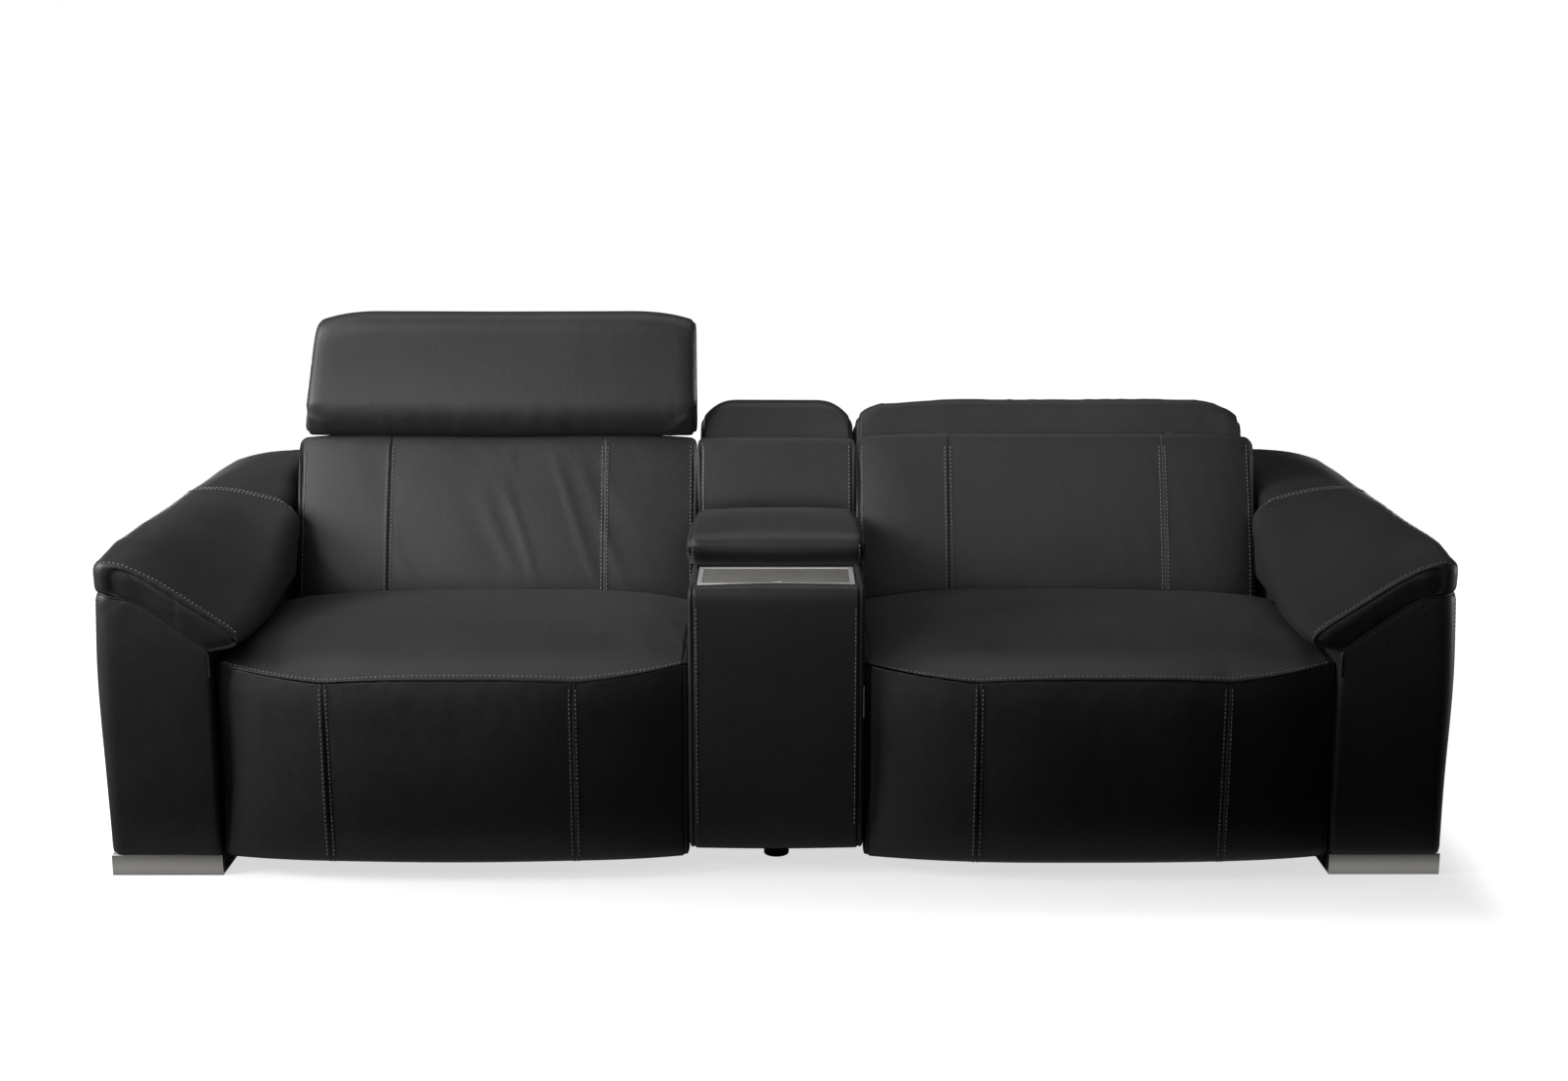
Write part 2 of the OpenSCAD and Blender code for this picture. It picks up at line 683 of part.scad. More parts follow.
module console_back_block() {
    under = headrest_y + headrest_t + rest_gap;
    y = back_rear_y + rest_gap;
    seat_from = lowered_point(under, headrest_z + roll_edge);
    seat_to = lowered_point(under, headrest_z + headrest_h - roll_edge);
    color(wood) slab(-console_hw + 16, 2 * console_hw - 32) polygon([
        [y, console_top_z], [y, back_board_top], [y + head_board_t, back_board_top],
        [y + head_board_t, seat_from[1] - 10],
        seat_from, seat_to, [console_rear, seat_to[1] - 20], [console_rear, console_top_z]
    ]);
}

// The open armrest leans just short of the back cushion's face
lid_reach = max([for (p = lid_ring(0))
    (p[1] - lid_hinge_y) * cos(lid_swing) + (p[2] - lid_axis_z) * sin(lid_swing)]);
console_back_face = lid_hinge_y + lid_reach + 4;

function console_back_ring(x) = let (
    u = abs(x) / (console_hw + 2),
    o = rounded([
        [console_back_face, console_top_z + rest_gap, 8, 1],
        [console_back_face + 4 * u * u, console_top_z + 70, 50, 2],
        [back_face_y + back_lean + 4, back_top_z - 4 * pow(u, 4), 26, 4],
        [back_rear_y, back_top_z - 4 * pow(u, 4), 6, 1],
        [back_rear_y, console_top_z + rest_gap, 6, 1]
    ]))
    [for (p = shrunk(o, end_cut(x, console_hw + 2, 12))) [x, p[0], p[1]]];

module console_back_cushion() {
    half = console_hw + 2;
    color(leather) loft([for (u = stations(half, 12, 0.5)) console_back_ring(u * half)], [3, 0, 0]);
}

// Outline of a headrest in its raised place, in Y and Z
function headrest_outline(drop) = rounded([
    [headrest_y, headrest_z, 34, 4],
    [headrest_y + 4, headrest_z + headrest_h * 0.55, 90, 1],
    [headrest_y, headrest_z + headrest_h - drop, 40, 4],
    [headrest_y + headrest_t, headrest_z + headrest_h - drop, 34, 4],
    [headrest_y + headrest_t, headrest_z, 26, 3]
]);

// Turns about the headrest pivot, from raised to lowered
module lowered() {
    translate([0, head_pivot_y, head_pivot_z]) rotate([-headrest_swing, 0, 0])
        translate([0, -head_pivot_y, -head_pivot_z]) children();
}

module console_top_roll() {
    half = console_hw;
    color(leather) lowered() loft([for (u = stations(half, 30, 0.5))
        [for (p = shrunk(headrest_outline(10 * pow(abs(u), 3)), end_cut(u * half, half, 30))) [u * half, p[0], p[1]]]],
        [4, 0, 0]);
}

module power_supply() {
    y = console_rear - board_t - rest_gap;
    color(plastic) block([-supply_size[0] / 2, y - supply_size[1], supply_z],
        [supply_size[0] / 2, y, supply_z + supply_size[2]]);
}

module power_inlet() {
    color(plastic) difference() {
        union() {
            block([-20, console_rear, inlet_z - 13], [20, console_rear + 3, inlet_z + 13]);
            block([-13, console_rear - board_t, inlet_z - 8], [13, console_rear + 1, inlet_z + 8]);
        }
        block([-8.5, console_rear - 12, inlet_z - 4.5], [8.5, console_rear + 4, inlet_z + 4.5]);
    }
}

// Seats

module side_frames(side) {
    rear_top = back_low_z - 6;
    color(wood) at_seat(side) for (e = [-1, 1]) {
        translate([e > 0 ? side_in : -side_out, 0, 0]) slab(0, side_t) difference() {
            union() {
                translate([-frame_front, side_low]) square([frame_front + seat_rear, frame_top - side_low]);
                translate([seat_rear - 1, side_low]) square([pivot_y - seat_rear + 1, rear_top - side_low]);
                translate([pivot_y, pivot_z]) circle(r = pivot_boss_r);
                translate([pivot_y, side_low]) square([pivot_boss_r, pivot_z - side_low]);
            }
            translate([pivot_y, pivot_z]) circle(d = pivot_d + 2 * run_gap);
        }
        bar(e * channel_mid - channel_hw, 2 * channel_hw, stop_pin_y, stop_pin_z, stop_pin_d);
    }
}

seat_rail = 30;
seat_rail_ys = [-frame_front + 5, -345, 0];

module seat_rails(side) {
    color(wood) at_seat(side) for (y = seat_rail_ys)
        block([-side_in, y, frame_top - seat_rail], [side_in, y + seat_rail, frame_top]);
}

module seat_deck(side) {
    color(wood) at_seat(side)
        block([-side_out - 22, -frame_front + 2, frame_top], [side_out + 22, seat_rear - 1, deck_top]);
}

// Where the seat's front stands and its seam runs, at a share u of the half width
function seat_face(u) = -seat_front + corner_recess * pow(abs(u), 3.2);
function seam_height(u) = let (a = abs(u)) max(
    seam_z - seam_dip * pow(min(a / seam_u, 1), 3)
        + (seam_dip + seam_rise) * pow(max(a - seam_u, 0) / (1 - seam_u), 1.3),
    hinge_z + hinge_y - seat_face(u) + 1);

function seat_ring(u) = let (
    f = seat_face(u),
    s = seam_height(u),
    a = abs(u),
    o = rounded([
        [f, s, 3, 1],
        [f - 5, s + 22, 14, 2],
        [f + 34, seat_top_z - 4 - (seat_side_fall - 8) * pow(a, 4), 34, 3],
        [-250, seat_top_z + 2 - seat_side_fall * pow(a, 4), 120, 2],
        [seat_rear, seat_top_z - 12 - (seat_side_fall - 6) * pow(a, 4), 30, 3],
        [seat_rear, seat_under_z, 6, 1],
        [-frame_front + 1, seat_under_z, 5, 1],
        [-frame_front + 1, s, 2, 1]
    ]))
    [for (p = shrunk(o, end_cut(a * seat_hw, seat_hw, 18))) [u * seat_hw, p[0], p[1]]];

module seat_cushion(side) {
    color(leather) at_seat(side) loft([for (u = stations(seat_hw, 18, seam_u)) seat_ring(u)], [5, 0, 0]);
}

// Footrests

footrest_clear = 1;

function footrest_ring(u) = let (
    f = seat_face(u),
    top = seam_height(u) - footrest_clear,
    a = abs(u),
    o = rounded([
        [-footrest_back, top, 3, 1],
        [f, top, max(hinge_y - f, 5), 3],
        [f - footrest_swell * puff(u, seam_u), (top + footrest_z) / 2 - 20, 120, 2],
        [-seat_front + 4 + 40 * pow(a, 3), footrest_z, 18, 3],
        [-footrest_back, footrest_z, 4, 1]
    ]))
    [for (p = shrunk(o, end_cut(a * seat_hw, seat_hw, 14))) [u * seat_hw, p[0], p[1]]];

arm_plate_t = 4;
// The moving plates leave the barrel below its middle, the fixed ones above it
moving_plate_z = hinge_z - barrel_d / 2 - arm_plate_t + 0.5;
fixed_plate_z = hinge_z + 1;
board_top = moving_plate_z - rest_gap;

module footrest_pad(side) {
    color(leather) at_seat(side) difference() {
        loft([for (u = stations(seat_hw, 14, seam_u)) footrest_ring(u)], [4, 0, 0]);
        for (x = hinge_xs) block([x - hinge_w / 2 - 1, hinge_y - barrel_d / 2 - rest_gap, moving_plate_z - rest_gap],
            [x + hinge_w / 2 + 1, -footrest_back + 1, seam_z + 60]);
    }
}

lever_half = rod_d / 2 + 9;
lever_t = 8;

// A fork of two plates from a flat face to a pin
module fork(x, outline_pts, pin) {
    for (e = [-1, 1]) slab(x - lever_t / 2 + e * (lever_half - lever_t / 2), lever_t) union() {
        polygon(outline_pts);
        translate(pin) circle(d = 16);
    }
    bar(x - lever_half, 2 * lever_half, pin[0], pin[1], lever_pin_d);
}

module footrest_board(side) {
    y1 = -footrest_back + footrest_board_t;
    z = footrest_pin[1];
    hx = seat_hw - 30;
    color(wood) at_seat(side) {
        block([-hx, -footrest_back + rest_gap, footrest_z + 26], [hx, y1, board_top]);
        fork(footrest_drive_x, [[y1 - 1, z + 80], [y1 - 1, z - 50], [y1, z - 50],
            [footrest_pin[0] - 2, z - 8], [footrest_pin[0] + 4, z + 7], [y1, z + 80]], footrest_pin);
    }
}

module hinge_pivot(x, w, bore) {
    difference() {
        bar(x, w, hinge_y, hinge_z, barrel_d);
        if (bore) bar(x - 1, w + 2, hinge_y, hinge_z, hinge_pin_d + 2 * run_gap);
    }
}

// The moving half of each hinge: two knuckles with the pin, two plates over the board and down behind it
module footrest_hinges(side) {
    back = -footrest_back + footrest_board_t + rest_gap;
    w = hinge_w / 4 - side_gap;
    color(steel) at_seat(side) for (x = hinge_xs) {
        for (e = [-1, 1]) translate([x - w / 2 + e * (hinge_w / 2 - w / 2), 0, 0]) {
            hinge_pivot(0, w, false);
            block([0, hinge_y, moving_plate_z], [w, back + arm_plate_t, moving_plate_z + arm_plate_t]);
            block([0, back, moving_plate_z - 60], [w, back + arm_plate_t, moving_plate_z + arm_plate_t]);
        }
        bar(x - hinge_w / 2, hinge_w, hinge_y, hinge_z, hinge_pin_d);
    }
}

// The fixed half of each hinge, fastened to the front seat rail
module hinge_brackets() {
    w = hinge_w / 2;
    y = -frame_front + 1 - arm_plate_t - rest_gap;
    for (x = hinge_xs) translate([x - w / 2, 0, 0]) {
        difference() {
            union() {
                hinge_pivot(0, w, false);
                block([0, hinge_y, fixed_plate_z], [w, y + arm_plate_t, fixed_plate_z + arm_plate_t]);
            }
            bar(-1, w + 2, hinge_y, hinge_z, hinge_pin_d + 2 * run_gap);
        }
        block([0, y, frame_top - seat_rail], [w, y + arm_plate_t, fixed_plate_z + arm_plate_t]);
        block([0, y, frame_top - seat_rail], [w, seat_rail_ys[0], frame_top - 4]);
    }
}

housing_d = 40;
yoke_t = 10;
yoke_rim = 6;

// A plate with an upright slot that takes the lever's pin, on the end of a rod along Y
module yoke_and_rod(x, y, pin_low, pin_high, slack, rod_l) {
    half = lever_pin_d / 2 + slack;
    z0 = pin_low - lever_pin_d / 2 - 1;
    z1 = pin_high + lever_pin_d / 2 + 1;
    // The upper front corner is cut off, clear of the footrest's board in mid swing
    slab(x - yoke_t / 2, yoke_t) difference() {
        polygon([[y - half - yoke_rim, z0 - yoke_rim], [y + half + yoke_rim, z0 - yoke_rim],
            [y + half + yoke_rim, z1 + yoke_rim], [y - half, z1 + yoke_rim], [y - half - yoke_rim, z1 - yoke_rim]]);
        translate([y - half, z0]) square([2 * half, z1 - z0]);
    }
    bar_y(x, y + half + 5, (z0 + z1) / 2, rod_d, rod_l);
}

function yoke_rear(y, slack) = y + lever_pin_d / 2 + slack + yoke_rim;

footrest_slack = slot_slack(lever_r, footrest_swing);
footrest_yoke_y = hinge_y + footrest_rod_travel / 2;
footrest_rod_z = (footrest_pin[1] + hinge_z - lever_r) / 2;
footrest_rod_l = 420;
recline_slack = slot_slack(recline_lever_r, recline_swing);
recline_yoke_y = pivot_y + recline_rod_travel / 2;
recline_rod_z = (recline_pin[1] + pivot_z - recline_lever_r) / 2;
recline_rod_l = 200;

module footrest_rod(side) {
    color(steel) at_seat(side)
        yoke_and_rod(footrest_drive_x, footrest_yoke_y, hinge_z - lever_r, footrest_pin[1], footrest_slack, footrest_rod_l);
}

// The recline rod leaves its housing rearwards, so it is the footrest rod turned about
module recline_rod(side) {
    color(steel) at_seat(side) translate([0, 2 * recline_yoke_y, 0]) mirror([0, 1, 0])
        yoke_and_rod(recline_drive_x, recline_yoke_y, pivot_z - recline_lever_r, recline_pin[1], recline_slack, recline_rod_l);
}

// A drive housing along Y with a blind bore, its motor, and a hanger up to a seat rail
module actuator(x, z, y0, y1, bore_from, bore_to, hanger_y) {
    difference() {
        union() {
            bar_y(x, y0, z, housing_d, y1 - y0);
            translate([x - 16, hanger_y + 4, z]) cube([32, seat_rail - 8, frame_top - seat_rail - z]);
            translate([x, (y0 + y1) / 2 + (bore_from == y0 ? 60 : -60), z - 52]) cylinder(d = 52, h = 44);
        }
        bar_y(x, bore_from - (bore_from == y0 ? 1 : 0), z, rod_d + 2 * run_gap, bore_to - bore_from + 1);
    }
}

module footrest_actuator(side) {
    y0 = yoke_rear(footrest_yoke_y, footrest_slack) + 5;
    y1 = yoke_rear(footrest_yoke_y, footrest_slack) + footrest_rod_l + 10;
    color(steel) at_seat(side) {
        actuator(footrest_drive_x, footrest_rod_z, y0, y1 + 10, y0, y1, seat_rail_ys[1]);
        hinge_brackets();
    }
}

module recline_actuator(side) {
    y1 = recline_yoke_y - lever_pin_d / 2 - recline_slack - yoke_rim - recline_rod_travel - 5;
    y0 = recline_yoke_y - lever_pin_d / 2 - recline_slack - 5 - recline_rod_l - recline_rod_travel - 5;
    color(steel) at_seat(side)
        actuator(recline_drive_x, recline_rod_z, y0 - 10, y1, y0, y1, seat_rail_ys[2]);
}

// Backs

board_y = back_rear_y + 1;
post_y = board_y + head_board_t;
post_x1 = side_in - rest_gap;
post_t = 20;
post_d = 44;

module back_frame(side) {
    low = 215;
    post_top = shell_top_front[1] - shell_wall - 20;
    color(steel) at_seat(side) {
        block([-post_x1, board_y, low], [post_x1, post_y, back_board_top]);
        for (e = [-1, 1]) slab(e > 0 ? post_x1 - post_t : -post_x1, post_t) union() {
            translate([post_y - 1, low]) square([post_d, post_top - low]);
            translate([pivot_y, pivot_z]) circle(r = 22);
        }
        for (e = [-1, 1]) bar(e > 0 ? post_x1 - 1 : -side_out, side_t + 1 + rest_gap, pivot_y, pivot_z, pivot_d);
        fork(recline_drive_x, [[post_y - 1, low + 60], [post_y - 1, low], [recline_pin[0] - 8, recline_pin[1]],
            [recline_pin[0] + 8, recline_pin[1]], [post_y + 30, low + 60]], recline_pin);
        for (x = headrest_arm_xs) {
            for (e = [-1, 1]) slab(x - ear_t / 2 + e * (3 + side_gap + ear_t / 2), ear_t) union() {
                translate([head_pivot_y, head_pivot_z]) circle(d = 20);
                polygon([[board_y, 700], [post_y, 700], [post_y, 738],
                    [head_pivot_y + 9, head_pivot_z - 4], [head_pivot_y - 9, head_pivot_z + 4],
                    [board_y, back_board_top]]);
            }
            bar(x - 3 - side_gap - ear_t, 6 + 2 * (side_gap + ear_t), head_pivot_y, head_pivot_z, head_pin_d);
        }
    }
}

function back_ring(u) = let (
    a = abs(u),
    seam = panel_seam_x / back_hw,
    f = 10 * (1 - puff(u, seam)) + 14 * pow(a, 6),
    top = back_top_z - 8 * pow(a, 6),
    o = rounded([
        [back_face_y + 16 + f * 0.5, back_low_z, 14, 2],
        [back_face_y - 6 + f, 410, 70, 3],
        [back_face_y + back_lean * 0.5 - 10 + f, 590, 90, 2],
        [back_face_y + back_lean + f * 0.6, top, 38, 4],
        [back_rear_y, top, 6, 1],
        [back_rear_y, back_low_z, 6, 1]
    ]))
    [for (p = shrunk(o, end_cut(a * back_hw, back_hw, 20))) [back_x + u * back_hw, p[0], p[1]]];

module back_cushion(side) {
    color(leather) at_seat(side)
        loft([for (u = stations(back_hw, 20, panel_seam_x / back_hw)) back_ring(u)], [5, 0, 0]);
}

module back_shell(side) {
    outer = [[back_rear_y + rest_gap, shell_low_z], [back_rear_y + rest_gap, shell_top_front[1]],
        shell_top_front, shell_top_rear, [shell_rear, 550], [shell_rear - 60, shell_low_z]];
    w = shell_wall;
    inner = [[back_rear_y - 1, shell_low_z - 40], [back_rear_y - 1, shell_top_front[1] - w],
        [shell_top_front[0], shell_top_front[1] - w], [shell_top_rear[0] - w * 0.6, shell_top_rear[1] - w],
        [shell_rear - w, 550], [shell_rear - 60 - w, shell_low_z], [shell_rear - 60 - w, shell_low_z - 40]];
    color(leather) at_seat(side) difference() {
        slab(-back_inner, back_inner + back_outer) polygon(outer);
        slab(-back_inner + w, back_inner + back_outer - 2 * w) polygon(inner);
        block([-post_x1 - 1, back_rear_y - 1, shell_low_z], [post_x1 + 1, post_y + rest_gap, shell_top_front[1] + 1]);
    }
}

// Headrests

head_arm_top = headrest_z + 100;
head_arm_w = 18;

module headrest_raised() {
    inner = seat_hw;
    outer = back_outer - 16;
    mid = (outer - inner) / 2;
    half = (outer + inner) / 2;
    difference() {
        loft([for (u = stations(half, 30, 0.55))
            [for (p = shrunk(headrest_outline(12 * pow(abs(u), 4)), end_cut(u * half, half, 30)))
                [mid + u * half - max(u, 0) * headrest_slant * pow(max(p[1] - headrest_z, 0) / headrest_h, 1.6), p[0], p[1]]]],
            [5, 0, 0]);
        for (x = headrest_arm_xs) block(
            [x - 3 - rest_gap, head_pivot_y - head_arm_w / 2 - rest_gap, headrest_z - 20],
            [x + 3 + rest_gap, head_pivot_y + head_arm_w / 2 + rest_gap, head_arm_top + rest_gap]);
    }
}

module headrest_arms_raised() {
    for (x = headrest_arm_xs) slab(x - 3, 6) difference() {
        union() {
            translate([head_pivot_y, head_pivot_z]) circle(d = head_arm_w);
            translate([head_pivot_y - head_arm_w / 2, head_pivot_z]) square([head_arm_w, head_arm_top - head_pivot_z]);
        }
        translate([head_pivot_y, head_pivot_z]) circle(d = head_pin_d + 2 * run_gap);
    }
}

// The left headrest is raised and the right one lowered
module headrest(side) {
    color(leather) at_seat(side) {
        if (side == LEFT) headrest_raised();
        else lowered() headrest_raised();
    }
}

module headrest_arms(side) {
    color(steel) at_seat(side) {
        if (side == LEFT) headrest_arms_raised();
        else lowered() headrest_arms_raised();
    }
}

place() front_feet();
place() round_feet();
place() base_rails();
place() glide_channels();
place() arm_frame(LEFT);  // left_arm_frame
place() arm_frame(RIGHT);  // right_arm_frame
place() arm_body(LEFT);  // left_arm_body
place() arm_body(RIGHT);  // right_arm_body
place() arm_pad(LEFT);  // left_arm_pad
place() arm_pad(RIGHT);  // right_arm_pad
place() console_body();
place() console_bin();
place() console_back_cushion();
place() console_back_block();
place() console_top_roll();
place() cup_insert();
place() tray_frame();
place() switch_plates();
place() power_supply();
place() power_inlet();
place() console_lid_pad();
place() console_lid_board();
place() tray_flap();
place() rocker(LEFT, -1);  // left_footrest_rocker
place() rocker(LEFT, 1);  // left_recline_rocker
place() rocker(RIGHT, -1);  // right_footrest_rocker
place() rocker(RIGHT, 1);  // right_recline_rocker
place() side_frames(LEFT);  // left_side_frames
place() seat_rails(LEFT);  // left_seat_rails
place() seat_deck(LEFT);  // left_seat_deck
place() seat_cushion(LEFT);  // left_seat_cushion
place() footrest_actuator(LEFT);  // left_footrest_actuator
place() recline_actuator(LEFT);  // left_recline_actuator
place() side_frames(RIGHT);  // right_side_frames
place() seat_rails(RIGHT);  // right_seat_rails
place() seat_deck(RIGHT);  // right_seat_deck
place() seat_cushion(RIGHT);  // right_seat_cushion
place() footrest_actuator(RIGHT);  // right_footrest_actuator
place() recline_actuator(RIGHT);  // right_recline_actuator
place() footrest_pad(LEFT);  // left_footrest_pad
place() footrest_board(LEFT);  // left_footrest_board
place() footrest_hinges(LEFT);  // left_footrest_hinges
place() footrest_rod(LEFT);  // left_footrest_rod
place() footrest_pad(RIGHT);  // right_footrest_pad
place() footrest_board(RIGHT);  // right_footrest_board
place() footrest_hinges(RIGHT);  // right_footrest_hinges
place() footrest_rod(RIGHT);  // right_footrest_rod
place() back_frame(LEFT);  // left_back_frame
place() back_cushion(LEFT);  // left_back_cushion
place() back_shell(LEFT);  // left_back_shell
place() recline_rod(LEFT);  // left_recline_rod
place() back_frame(RIGHT);  // right_back_frame
place() back_cushion(RIGHT);  // right_back_cushion
place() back_shell(RIGHT);  // right_back_shell
place() recline_rod(RIGHT);  // right_recline_rod
place() headrest(LEFT);  // left_headrest
place() headrest_arms(LEFT);  // left_headrest_arms
place() headrest(RIGHT);  // right_headrest
place() headrest_arms(RIGHT);  // right_headrest_arms
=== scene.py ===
"""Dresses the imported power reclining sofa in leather, metal, plastic and wood, with floor, light and camera."""

from __future__ import annotations

import json
import logging
import math
from collections.abc import Callable, Iterable, Sequence
from dataclasses import dataclass
from enum import Enum

import bpy
import numpy as np
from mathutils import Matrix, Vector
from mathutils.bvhtree import BVHTree

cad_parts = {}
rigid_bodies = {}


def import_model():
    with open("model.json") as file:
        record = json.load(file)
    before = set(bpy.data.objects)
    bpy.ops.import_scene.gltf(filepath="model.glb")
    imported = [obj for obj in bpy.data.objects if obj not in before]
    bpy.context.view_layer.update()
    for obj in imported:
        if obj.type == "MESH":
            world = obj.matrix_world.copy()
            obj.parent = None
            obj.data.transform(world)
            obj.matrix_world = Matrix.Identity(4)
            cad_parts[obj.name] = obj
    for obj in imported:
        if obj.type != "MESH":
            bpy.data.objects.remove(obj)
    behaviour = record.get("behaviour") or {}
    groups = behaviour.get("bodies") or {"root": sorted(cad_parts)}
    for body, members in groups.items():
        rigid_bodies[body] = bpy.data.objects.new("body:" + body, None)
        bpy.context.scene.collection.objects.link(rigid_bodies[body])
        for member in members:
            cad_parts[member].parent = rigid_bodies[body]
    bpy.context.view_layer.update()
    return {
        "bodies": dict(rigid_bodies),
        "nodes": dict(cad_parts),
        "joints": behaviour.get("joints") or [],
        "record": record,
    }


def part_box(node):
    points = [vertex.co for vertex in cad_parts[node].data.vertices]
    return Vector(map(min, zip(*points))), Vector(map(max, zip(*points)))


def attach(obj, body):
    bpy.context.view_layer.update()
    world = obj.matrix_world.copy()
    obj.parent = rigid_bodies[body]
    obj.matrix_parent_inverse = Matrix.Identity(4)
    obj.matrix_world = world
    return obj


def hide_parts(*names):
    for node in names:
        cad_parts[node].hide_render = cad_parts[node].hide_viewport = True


LOG = logging.getLogger("sofa")
Array = np.ndarray
Colour = tuple[float, float, float]
FRAME: dict = {}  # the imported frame, once main has loaded it


class Side(Enum):
    """The two halves of the sofa, as seen from the front."""

    LEFT = -1
    RIGHT = 1

    def node(self, part: str) -> str:
        """The name of this side's node or body of a kind."""
        return f"{self.name.lower()}_{part}"


@dataclass(frozen=True)
class Extent:
    """The box round a node of the frame."""

    x0: float
    x1: float
    y0: float
    y1: float
    z0: float
    z1: float

    @classmethod
    def of(cls, node: str) -> Extent:
        """The box of a named node."""
        low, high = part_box(node)
        return cls(low.x, high.x, low.y, high.y, low.z, high.z)

    @property
    def mid_x(self) -> float:
        """Middle of the box across the sofa."""
        return (self.x0 + self.x1) / 2

    @property
    def half_x(self) -> float:
        """Half the width of the box."""
        return (self.x1 - self.x0) / 2


class Wire:
    """A shader value that can be reckoned with; each operation adds a Math node."""

    def __init__(self, graph: Graph, socket: bpy.types.NodeSocket) -> None:
        """Wraps an output socket of a graph."""
        self.graph = graph
        self.socket = socket

    def _math(self, operation: str, *values: Wire | float) -> Wire:
        """One Math node on these values."""
        return self.graph.node("ShaderNodeMath", {"operation": operation}, dict(enumerate(values)))

    def __add__(self, other: Wire | float) -> Wire:
        """Sum."""
        return self._math("ADD", self, other)

    __radd__ = __add__

    def __sub__(self, other: Wire | float) -> Wire:
        """Difference."""
        return self._math("SUBTRACT", self, other)

    def __rsub__(self, other: Wire | float) -> Wire:
        """Difference, reflected."""
        return self._math("SUBTRACT", other, self)

    def __mul__(self, other: Wire | float) -> Wire:
        """Product."""
        return self._math("MULTIPLY", self, other)

    def ramp(self, low: float, high: float) -> Wire:
        """Smooth step from 0 at low to 1 at high."""
        return self.graph.node(
            "ShaderNodeMapRange",
            {"interpolation_type": "SMOOTHSTEP"},
            {"Value": self, "From Min": low, "From Max": high},
        )


class Graph:
    """The node tree of one material."""

    def __init__(self, name: str) -> None:
        """Starts an empty material."""
        self.material = bpy.data.materials.new(name)
        self.material.use_nodes = True
        self.tree = self.material.node_tree
        self.tree.nodes.clear()

    def node(self, kind: str, settings: dict | None = None, inputs: dict | None = None, output: int | str = 0) -> Wire:
        """Adds a node.

        Args:
            kind: the node's type.
            settings: attributes of the node, which are set first.
            inputs: values or wires by socket name or number.
            output: the socket that is returned.

        Returns:
            The chosen output.
        """
        made = self.tree.nodes.new(kind)
        for key, value in (settings or {}).items():
            setattr(made, key, value)
        for key, value in (inputs or {}).items():
            if isinstance(value, Wire):
                self.tree.links.new(value.socket, made.inputs[key])
            else:
                made.inputs[key].default_value = value
        return Wire(self, made.outputs[output])

    def place(self) -> Wire:
        """Object coordinates, in metres."""
        return self.node("ShaderNodeTexCoord", output="Object")

    def stretched(self, scale: tuple[float, float, float]) -> Wire:
        """Object coordinates with each axis scaled."""
        return self.node("ShaderNodeMapping", {}, {"Vector": self.place(), "Scale": scale})

    def noise(self, scale: float, detail: float, roughness: float = 0.55, where: Wire | None = None) -> Wire:
        """Fractal noise from 0 to 1."""
        inputs = {"Vector": where or self.place(), "Scale": scale, "Detail": detail, "Roughness": roughness}
        return self.node("ShaderNodeTexNoise", {}, inputs)

    def cells(self, scale: float) -> Wire:
        """Distance within smooth Voronoi cells."""
        return self.node("ShaderNodeTexVoronoi", {"feature": "SMOOTH_F1"}, {"Vector": self.place(), "Scale": scale})

    def attribute(self, name: str) -> Wire:
        """A number that the mesh holds for each point."""
        return self.node("ShaderNodeAttribute", {"attribute_name": name}, output="Fac")

    def blend(self, low: tuple | Wire, high: tuple | Wire, factor: Wire | float) -> Wire:
        """A colour between two others."""
        sides = {6: low, 7: high}
        inputs = {0: factor, **{k: v if isinstance(v, Wire) else (*v, 1.0) for k, v in sides.items()}}
        return self.node("ShaderNodeMix", {"data_type": "RGBA"}, inputs, output=2)

    def bump(self, height: Wire, distance: float, strength: float, under: Wire | None = None) -> Wire:
        """A normal bent by a height in metres."""
        inputs = {"Height": height, "Distance": distance, "Strength": strength}
        if under is not None:
            inputs["Normal"] = under
        return self.node("ShaderNodeBump", {}, inputs)

    def surface(self, **sockets: Wire | float) -> bpy.types.Material:
        """Ends the tree in a Principled shader.

        Args:
            sockets: values or wires by the shader's socket names, with underscores for spaces.

        Returns:
            The finished material.
        """
        inputs = {key.replace("_", " "): value for key, value in sockets.items()}
        self.end(self.node("ShaderNodeBsdfPrincipled", {}, inputs))
        return self.material

    def end(self, shader: Wire) -> None:
        """Joins a shader to the material's output."""
        output = self.tree.nodes.new("ShaderNodeOutputMaterial")
        self.tree.links.new(shader.socket, output.inputs["Surface"])


def toned(colour: Colour, factor: float) -> Colour:
    """A colour made darker or lighter."""
    return tuple(min(c * factor, 1.0) for c in colour)


